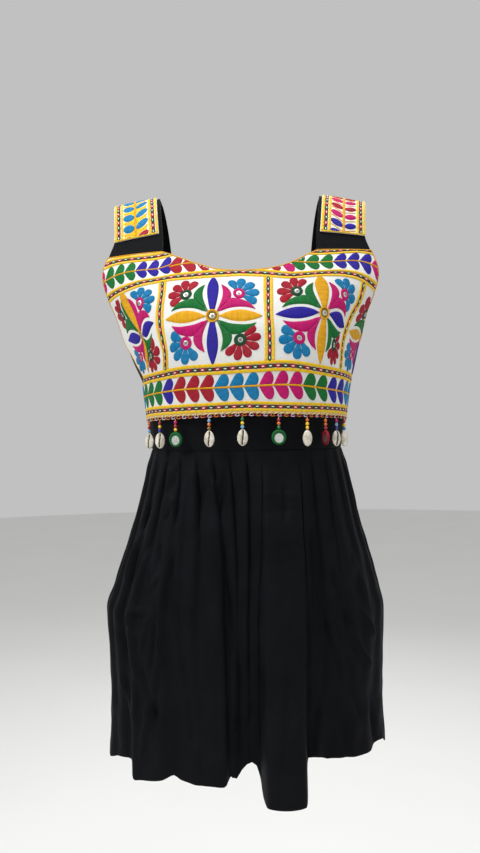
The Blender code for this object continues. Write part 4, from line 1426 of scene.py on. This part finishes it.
DANGLERS = table(
    "kind share turn beads",
    ("shell", -0.76, 44, ("orange", "crimson", "sky")),
    ("shell", -0.60, 36, ("crimson", "yellow", "blue")),
    ("mirror", -0.455, 6, ("magenta", "crimson", "yellow")),
    ("shell", -0.225, 0, ("sky", "orange", "olive")),
    ("shell", -0.022, 0, ("green", "yellow", "sky")),
    ("mirror", 0.198, 4, ("crimson", "orange", "green")),
    ("shell", 0.382, 180, ("orange", "yellow", "yellow")),
    ("mirror", 0.525, 68, ("orange", "orange", "crimson")),
    ("shell", 0.635, -20, ("magenta", "sky", "blue")),
    ("shell", 0.76, 160, ("crimson", "yellow", "teal")),
)
CRIMSON_MIRROR = 8
DANGLERS_Z = -0.268
HEM_NORMAL_T = 0.002
BEAD_RADIUS = 0.0021
TOP_BEAD_SHARE = 0.92
THREAD_RADIUS = 0.00035
THREAD_ABOVE = 0.0012
THREAD_BELOW = 0.0006

# Cowries: sizes in metres, and their slit, teeth and lips as shares of the half width and half length
SHELL_LENGTH = 0.0190
SHELL_WIDTH = 0.0122
SHELL_THICKNESS = 0.0070
SHELL_TAPER = -0.10
SHELL_POINTED = 1.15
SHELL_FLATTENED = 0.72
SHELL_GRID = (41, 64)
SLIT_BEND = 0.10
SLIT_WINDS = 2.2
SLIT_REACH = 0.93
SLIT_FADE = 0.12
SLIT_WIDTH = 0.13
SLIT_DEPTH = 0.42
# Reach of the slit's painted shade, as shares of the half width and half length
SLIT_DARK_HALF = 0.15
SLIT_DARK_REACH = 0.88
TEETH_AWAY = 0.24
TEETH_TURNS = 34.0
LIPS_AWAY = 0.34
LIP_WIDTH = 0.16
LIP_HEIGHT = 0.10

# Hanging mirrors and their rings of wound thread
MIRROR_RADIUS = 0.0054
MIRROR_LOW = 0.0010
RING_RADIUS = 0.0088
RING_POINTS = 48
RING_WINDINGS = 24
WINDING_HEIGHT = 0.10
RIM_SHARE = 0.98
RIM_RADIUS = 0.0005
DISC_POINTS = 24
DISC_MIDDLE_Y = 0.0009
DISC_EDGE_Y = 0.0006


def cowrie_shell():
    """Creamy shell with faint grey growth bands and a glossy face."""
    shader = Shader("cowrie")
    tone = shader.ramp(shader.noise(shader.place, scale=160.0, detail=4.0), low=0.32, high=0.68)
    shader.bump(shader.noise(shader.place, scale=900.0, detail=2.0), strength=0.15, distance=0.0004)
    values = {"Roughness": 0.32, "Coat_Weight": 0.35, "Coat_Roughness": 0.15}
    return shader.finish(tone, colour((176, 168, 150)), colour((232, 226, 210)), **values)


COWRIE = cowrie_shell()
# Painted shade in the cowrie's slit: dark brown where the hollow inside lies in shade
SLIT_PAINTED_SHADE = clouded("cowrie_slit_painted_shade", 700.0, 2.0, colour((38, 26, 20)), colour((84, 66, 52)), Roughness=0.6)
BEAD_FINISHES = {
    name: clouded("bead_" + name, 900.0, 2.0, *shade_and_light(name), Roughness=0.22, Coat_Weight=0.3)
    for name in dict.fromkeys(name for dangler in DANGLERS for name in dangler.beads)
}


def ball(radius, tall, rings=8, sides=12):
    """Points and faces of a rounded bead about its own middle."""
    down = np.linspace(0.0, math.pi, rings + 1)[1:-1]
    turns = turns_of(sides)
    skin = np.stack(
        np.broadcast_arrays(
            radius * np.outer(np.sin(down), np.cos(turns)),
            radius * np.outer(np.sin(down), np.sin(turns)),
            tall * np.cos(down)[:, None],
        ),
        axis=-1,
    )
    points = np.concatenate([[[0.0, 0.0, tall]], skin.reshape(-1, 3), [[0.0, 0.0, -tall]]])
    number = 1 + np.arange((rings - 1) * sides).reshape(rings - 1, sides)
    last = len(points) - 1
    faces = []
    for j in range(sides):
        k = (j + 1) % sides
        faces += [[0, number[0, j], number[0, k]], [last, number[-1, k], number[-1, j]]]
    cells = quads_of(np.pad(number, ((0, 0), (0, 1)), mode="wrap"))
    return points, faces + cells[..., [0, 3, 2, 1]].reshape(-1, 4).tolist()


def make_bead_string(number, dangler):
    """Three beads on a thread that is looped through the lace. Returns its upper end and the height of its lower."""
    node = f"bead_string_{number:02d}"
    low, high = (np.array(corner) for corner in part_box(node))
    top = np.array([(low[0] + high[0]) / 2, (low[1] + high[1]) / 2, high[2]])
    bundle = Bundle(THREAD_MATERIALS["cream"], *[BEAD_FINISHES[name] for name in dangler.beads])
    line = np.linspace(top + (0, 0, THREAD_ABOVE), (top[0], top[1], low[2] - THREAD_BELOW), 6)
    bundle.add(*tube(line, THREAD_RADIUS, up=(1.0, 0.0, 0.0)))
    pitch = (high[2] - low[2]) / len(dangler.beads)
    for i in range(len(dangler.beads)):
        points, faces = ball(BEAD_RADIUS * (1.0 if i else TOP_BEAD_SHARE), pitch * 0.5)
        bundle.add(points + top + (0, 0, -(i + 0.5) * pitch), faces, 1 + i)
    trim_piece(bundle.piece(f"{node}_beads"), "beads", node)
    return top, low[2]


def bell(offset, width):
    """Soft bump that is 1 where the offset is 0."""
    return np.exp(-((offset / width) ** 2))


def make_shell(number, place):
    """Cowrie: an egg flattened on its slit side, with the toothed slit pressed in and painted shade inside it. Its
    front is -Y.
    """
    rows, columns = SHELL_GRID
    u = np.linspace(0.0, math.pi, rows)[:, None]
    v = turns_of(columns)[None, :]
    z = np.cos(u) * np.ones_like(v)
    narrow = 1.0 + SHELL_TAPER * 0.5 * z
    x = np.sin(u) ** SHELL_POINTED * np.sin(v) * narrow
    y = -np.sin(u) ** SHELL_POINTED * np.cos(v)
    y = np.where(y < 0, y * SHELL_FLATTENED, y) * narrow
    front = y < 0.0
    away = np.abs(x - SLIT_BEND * np.sin(z * SLIT_WINDS))
    ends = ease((SLIT_REACH - np.abs(z)) / SLIT_FADE) * front
    slit = bell(away, SLIT_WIDTH) * ends
    teeth = bell(away - TEETH_AWAY, LIP_WIDTH) * ends * (0.5 + 0.5 * np.cos(z * TEETH_TURNS))
    lips = bell(away - LIPS_AWAY, LIP_WIDTH) * ends
    y = y + slit * SLIT_DEPTH - lips * LIP_HEIGHT + teeth * LIP_HEIGHT
    points = np.stack([x * SHELL_WIDTH / 2, y * SHELL_THICKNESS / 2, (z - 1.0) * SHELL_LENGTH / 2], axis=-1)
    spots = (np.array(place.to_3x3()) @ points.reshape(-1, 3).T).T + np.array(place.translation)
    grid = np.arange(rows * columns).reshape(rows, columns)
    quads = quads_of(np.pad(grid, ((0, 0), (0, 1)), mode="wrap"))[..., [0, 3, 2, 1]]
    # Faces inside the slit carry the painted shade
    dark = (away < SLIT_DARK_HALF) & front & (np.abs(z) < SLIT_DARK_REACH)
    index = dark[:-1].astype(int).ravel()
    node = f"shell_{number:02d}"
    piece = mesh_object(f"{node}_cowrie", spots, quads.reshape(-1, 4).tolist(), [COWRIE, SLIT_PAINTED_SHADE], index)
    bm = bmesh.new()
    bm.from_mesh(piece.data)
    bmesh.ops.remove_doubles(bm, verts=bm.verts, dist=1e-6)
    bmesh.ops.recalc_face_normals(bm, faces=bm.faces)
    bm.to_mesh(piece.data)
    bm.free()
    trim_piece(piece, "shell", node)


def upright_circle(count, radius):
    """Circle that faces the front, about the origin."""
    turns = turns_of(count)
    return np.stack([np.cos(turns), 0 * turns, np.sin(turns)], axis=1) * np.reshape(radius, (-1, 1))


def make_mirror(number, place, ring_name):
    """Round mirror in a ring of wound thread, both sides alike."""
    bundle = Bundle(MIRROR, THREAD_MATERIALS[ring_name], THREAD_MATERIALS["olive"])
    turn = np.array(place.to_3x3())
    centre = np.array(place @ Vector((0.0, 0.0, -RING_RADIUS)))

    def put(points, faces, finish):
        bundle.add((turn @ np.asarray(points).T).T + centre, faces, finish)

    turns = turns_of(RING_POINTS)
    hole = MIRROR_RADIUS - MIRROR_LOW * np.sin(turns)
    ring = upright_circle(RING_POINTS, (hole + RING_RADIUS) / 2)
    radius = (RING_RADIUS - hole) / 2 * (1.0 + WINDING_HEIGHT * np.cos(turns * RING_WINDINGS))
    put(*tube(ring, radius, sides=10, closed=True, up=(0.0, 1.0, 0.0)), 1)
    low = np.array([0.0, 0.0, -MIRROR_LOW])
    inner = upright_circle(RING_POINTS, MIRROR_RADIUS * RIM_SHARE) + low
    put(*tube(inner, RIM_RADIUS, closed=True, up=(0.0, 1.0, 0.0)), 2)
    edge = upright_circle(DISC_POINTS, MIRROR_RADIUS)
    for side in (-1.0, 1.0):
        disc = np.concatenate([[[0.0, side * DISC_MIDDLE_Y, 0.0]], edge + (0.0, side * DISC_EDGE_Y, 0.0)])
        fan = [[0, 1 + i, 1 + (i + 1) % DISC_POINTS] for i in range(DISC_POINTS)]
        put(disc + low, [face[::-1] for face in fan] if side > 0 else fan, 0)
    node = f"mirror_{number:02d}"
    trim_piece(bundle.piece(f"{node}_disc"), "mirror", node)


def make_danglers(cloth):
    hem_length = BODICE_FORMS[False].length(DANGLERS_Z)
    for number, dangler in enumerate(DANGLERS, start=1):
        top, bottom = make_bead_string(number, dangler)
        spot = np.array([dangler.share * hem_length]), np.array([HEM_NORMAL_T])
        out = grid_lookup(cloth.normals, *cloth.rows_and_columns(*spot))[0]
        turn = math.atan2(out[0], -out[1]) + math.radians(dangler.turn)
        place = Matrix.Translation((top[0], top[1], bottom - GAP)) @ Matrix.Rotation(turn, 4, "Z")
        if dangler.kind == "shell":
            make_shell(number, place)
        else:
            make_mirror(number, place, "crimson" if number == CRIMSON_MIRROR else "green")


LACE_DROP = 0.0055
LACE_LOOP = 0.0040
LACE_THREADS = ("magenta", "golden", "magenta", "white")
# The hem cord's strands: angle, radius and number of the finish
CORD_STRANDS = ((0.0, 0.00085, 0), (math.pi, 0.00045, 2))
CORD_POINTS = 720
CORD_TWIST = 0.0034
CORD_SWING = 0.0004
CORD_DOWN = 0.0006
CORD_OUT = 0.0005
LOOP_RADIUS = 0.00046
LOOP_TOP = 0.0012
LOOP_FOOT = 0.0012
LOOP_SWAY = 0.0025
LOOP_OUT = 0.0007
SHORT_LOOP = 0.86


def make_lace(inner, outer):
    """Cord along the embroidered hem, with small loops of coloured thread below it."""
    hem = (inner[0] + outer[0]) / 2
    hem[:, 2] = np.minimum(inner[0, :, 2], outer[0, :, 2]) - GAP
    steps = distances(hem)
    out = normals_of(np.stack([hem - (0, 0, 0.01), hem]))[0]
    total = steps[-1]
    bundle = Bundle(*[THREAD_MATERIALS[name] for name in ("cream", *LACE_THREADS)])

    def spot(place, down, forward):
        on_hem, away = (
            np.stack([np.interp(place, steps, line[:, axis]) for axis in range(3)], axis=1) for line in (hem, out)
        )
        return on_hem + away * forward[:, None] - np.outer(down, (0.0, 0.0, 1.0))

    place = np.linspace(0.0, total, CORD_POINTS)
    for turned, radius, finish in CORD_STRANDS:
        twist = place / CORD_TWIST * math.pi + turned
        line = spot(place, CORD_DOWN + CORD_SWING * np.cos(twist), CORD_OUT + CORD_SWING * np.sin(twist))
        bundle.add(*tube(line, radius), finish)
    loops = int(total / LACE_LOOP)
    u = np.linspace(0.0, 1.0, 17)
    sway = LOOP_SWAY * np.sin(2.0 * math.pi * (u - 0.5)) * np.sin(math.pi * u) ** 0.5 + (u - 0.5) * LOOP_FOOT
    for i in range(loops):
        odd = i % 2
        swing = np.clip((i + 0.5) * total / loops + sway, 0.0, total)
        down = LOOP_TOP + (LACE_DROP - 2 * LOOP_TOP) * np.sin(math.pi * u) * (1.0 if odd else SHORT_LOOP)
        forward = LOOP_OUT * np.cos(math.pi * u) * (1 if odd else -1)
        bundle.add(*tube(spot(swing, down, forward), LOOP_RADIUS, sides=5), 1 + i % len(LACE_THREADS))
    trim_piece(bundle.piece("hem_lace_loops"), "lace", "hem_lace")


# Strap bands

STRAP_WIDE = 0.0530
STRAP_FLAT_COLUMNS = 61
STRAP_FLAT_ROWS = 161
# How far along the strap each band's lower end lies past the start, at its inner and outer edge
BAND_SLANT = {-1: (0.015, -0.045), 1: (0.0, 0.0)}
STRAP_CHAIN_PITCH = 0.0078


def strap_cloth(side, lift):
    """Outer face of a strap band's ground cloth, from its front end over the shoulder to its back end."""
    fractions = np.linspace(0.0, 1.0, STRAP_FLAT_COLUMNS)
    across = lerp(BAND_INSET, 1.0, fractions if side > 0 else fractions[::-1])
    start = BAND_START + lerp(*BAND_SLANT[side], across)
    along = lerp(start[None, :], 2.0 - BAND_START, np.linspace(0.0, 1.0, STRAP_FLAT_ROWS)[:, None])
    bare = strap_points(side, across[None, :], along)
    points = bare + normals_of(bare) * (BLACK_WALL + GAP + lift)
    t = distances(points[:, STRAP_FLAT_COLUMNS // 2])
    even = np.linspace(0.0, t[-1], STRAP_FLAT_ROWS)
    points = np.apply_along_axis(lambda values: np.interp(even, t, values), 0, points)
    s = (fractions - 0.5) * STRAP_WIDE
    beside = np.minimum(s + STRAP_WIDE / 2, STRAP_WIDE / 2 - s)
    margin = np.minimum(beside[None, :], np.minimum(even, even[-1] - even)[:, None])
    return Cloth(s, even, points, margin)


STRAP_LEAVES = {
    -1: ("crimson", "teal", "teal", "teal", "teal", "crimson", "crimson", "teal", "teal", "teal", "teal", "crimson"),
    1: ("blue", "blue", "magenta", "crimson", "magenta", "crimson", "crimson", "blue", "blue", "magenta", "crimson",
        "magenta", "crimson", "blue", "blue", "crimson", "magenta"),
}
# In mm: how far apart the leaves are, and on each hand how far the tip is above the root and how thick the leaf is
StrapLeaf = namedtuple("StrapLeaf", "pitch left_rise left_thick right_rise right_thick branch branch_half")
STRAP_LEAF = {
    -1: StrapLeaf(17.0, 3.4, 14.4, 12.0, 11.2, "yellow", 1.2),
    1: StrapLeaf(13.8, 9.8, 9.2, 2.4, 9.4, "golden", 0.7),
}
STRAP_CHAIN_PITCH = 0.0078
STRAP_LINE_HALF = 0.00165
STRAP_LINE_INSET = 0.0004
STRAP_EDGE_WIDE = 0.0116
STRAP_END_HALF = 0.0009
STRAP_LEAF_FULLNESS = 0.62
STRAP_LEAF_POINTS = 18
STRAP_LEAF_BEND = 0.0008
STRAP_LEAVES_START = 5.0
WHITE_OUTLINE = 0.8
BRANCH_POINTS = 14
STEM_HALF = 0.0016
EDGE_CORD_RADIUS = 0.0011
EDGE_CORD_UP = (0.3, 1.0, 0.2)


def make_strap(name, side):
    """Strap band: its ground cloth, and edge chains and leaves in thread."""
    ground = strap_cloth(side, 0.0)
    piece = wall(f"{name}_cloth", ground.points, ground.points + ground.normals * EMBROIDERED_WALL, WHITE)
    cloth_piece(piece, name)
    work = Embroidery(strap_cloth(side, EMBROIDERED_WALL))
    long = work.cloth.t[-1]
    edge = STRAP_WIDE / 2
    for left in (-edge, edge - STRAP_EDGE_WIDE):
        for offset in (STRAP_LINE_HALF + STRAP_LINE_INSET, STRAP_EDGE_WIDE - STRAP_LINE_HALF):
            work.line((left + offset, 0.0), (left + offset, long), STRAP_LINE_HALF, "yellow")
        middle = left + STRAP_EDGE_WIDE / 2
        chain(work, (middle, 0.0), (middle, long), STRAP_CHAIN_PITCH)
    shape, threads = STRAP_LEAF[side], STRAP_LEAVES[side]
    inner_half = edge - STRAP_EDGE_WIDE
    bulge = np.sin(math.pi * np.linspace(0.03, 0.97, STRAP_LEAF_POINTS)) ** STRAP_LEAF_FULLNESS
    stem = (0.0, 0.0), (0.0, long)
    if side < 0:
        work.line(*stem, inner_half, "yellow", height=BED_STITCH, across=15)
    hands = ((-1.0, shape.left_rise, shape.left_thick), (1.0, shape.right_rise, shape.right_thick))
    for i in range(int(long / MM / shape.pitch) + 2):
        root_t = (i * shape.pitch - STRAP_LEAVES_START) * MM
        for hand, rise, thick in hands:
            root = np.array([hand * STEM_HALF * 0.8, root_t])
            tip = np.array([hand * inner_half, root_t + rise * MM])
            bend = (root + tip) / 2 + (0.0, STRAP_LEAF_BEND)
            spine = bezier(root, bend, tip, STRAP_LEAF_POINTS)
            if side < 0:
                work.stroke(spine, (thick / 2 + WHITE_OUTLINE) * MM * bulge, "white", height=FLAT_STITCH)
            work.stroke(spine, thick / 2 * MM * bulge, threads[i % len(threads)], height=STEM_STITCH)
            down = np.array([0.0, -shape.pitch * MM / 2 * 0.98])
            branch = bezier(root + down, bend + down, tip + down, BRANCH_POINTS)
            half = np.full(BRANCH_POINTS, shape.branch_half * MM)
            work.stroke(branch, half, shape.branch, height=FLAT_STITCH)
    work.line(*stem, STEM_HALF, "golden", height=STRAP_STEM_STITCH)
    for t in (STRAP_END_HALF, long - STRAP_END_HALF):
        work.line((-edge, t), (edge, t), STRAP_END_HALF, "yellow", height=TALL_STITCH, keep=0.0)
    trim_piece(work.piece(f"{name}_thread"), "embroidered_cloth")


def make_yoke_edge(inner, outer):
    """Rounded cord of thread along the neck, armhole and side edges of the embroidered front."""
    middle = (inner + outer) / 2
    neck_end = STRAP_COLUMNS + CENTRE_COLUMNS
    top = middle[-1]
    edges = [top[STRAP_COLUMNS : neck_end + 1], top[: STRAP_COLUMNS + 1], top[neck_end:], middle[:, 0], middle[:, -1]]
    bundle = Bundle(THREAD_MATERIALS["golden"])
    for line in edges:
        bundle.add(*tube(line, EDGE_CORD_RADIUS, up=EDGE_CORD_UP))
    trim_piece(bundle.piece("yoke_edge_trim"), "embroidered_cloth")


def main():
    make_camera()
    make_stage()
    make_bodice("bodice_front", False)
    make_bodice("bodice_back", True)
    make_skirt("skirt_front", False)
    make_skirt("skirt_back", True)
    inner, outer = make_yoke()
    cloth = yoke_cloth(EMBROIDERED_WALL)
    *works, mirrors = yoke_embroidery(cloth)
    for work, name in zip(works, ("yoke_blocks_thread", "yoke_leaves_thread", "yoke_borders_thread")):
        trim_piece(work.piece(name), "embroidered_cloth")
    trim_piece(make_mirrors("yoke_mirrors", cloth, mirrors), "mirror")
    make_yoke_edge(inner, outer)
    make_strap("strap_band_left", -1)
    make_strap("strap_band_right", 1)
    make_lace(inner, outer)
    make_danglers(cloth)


main()
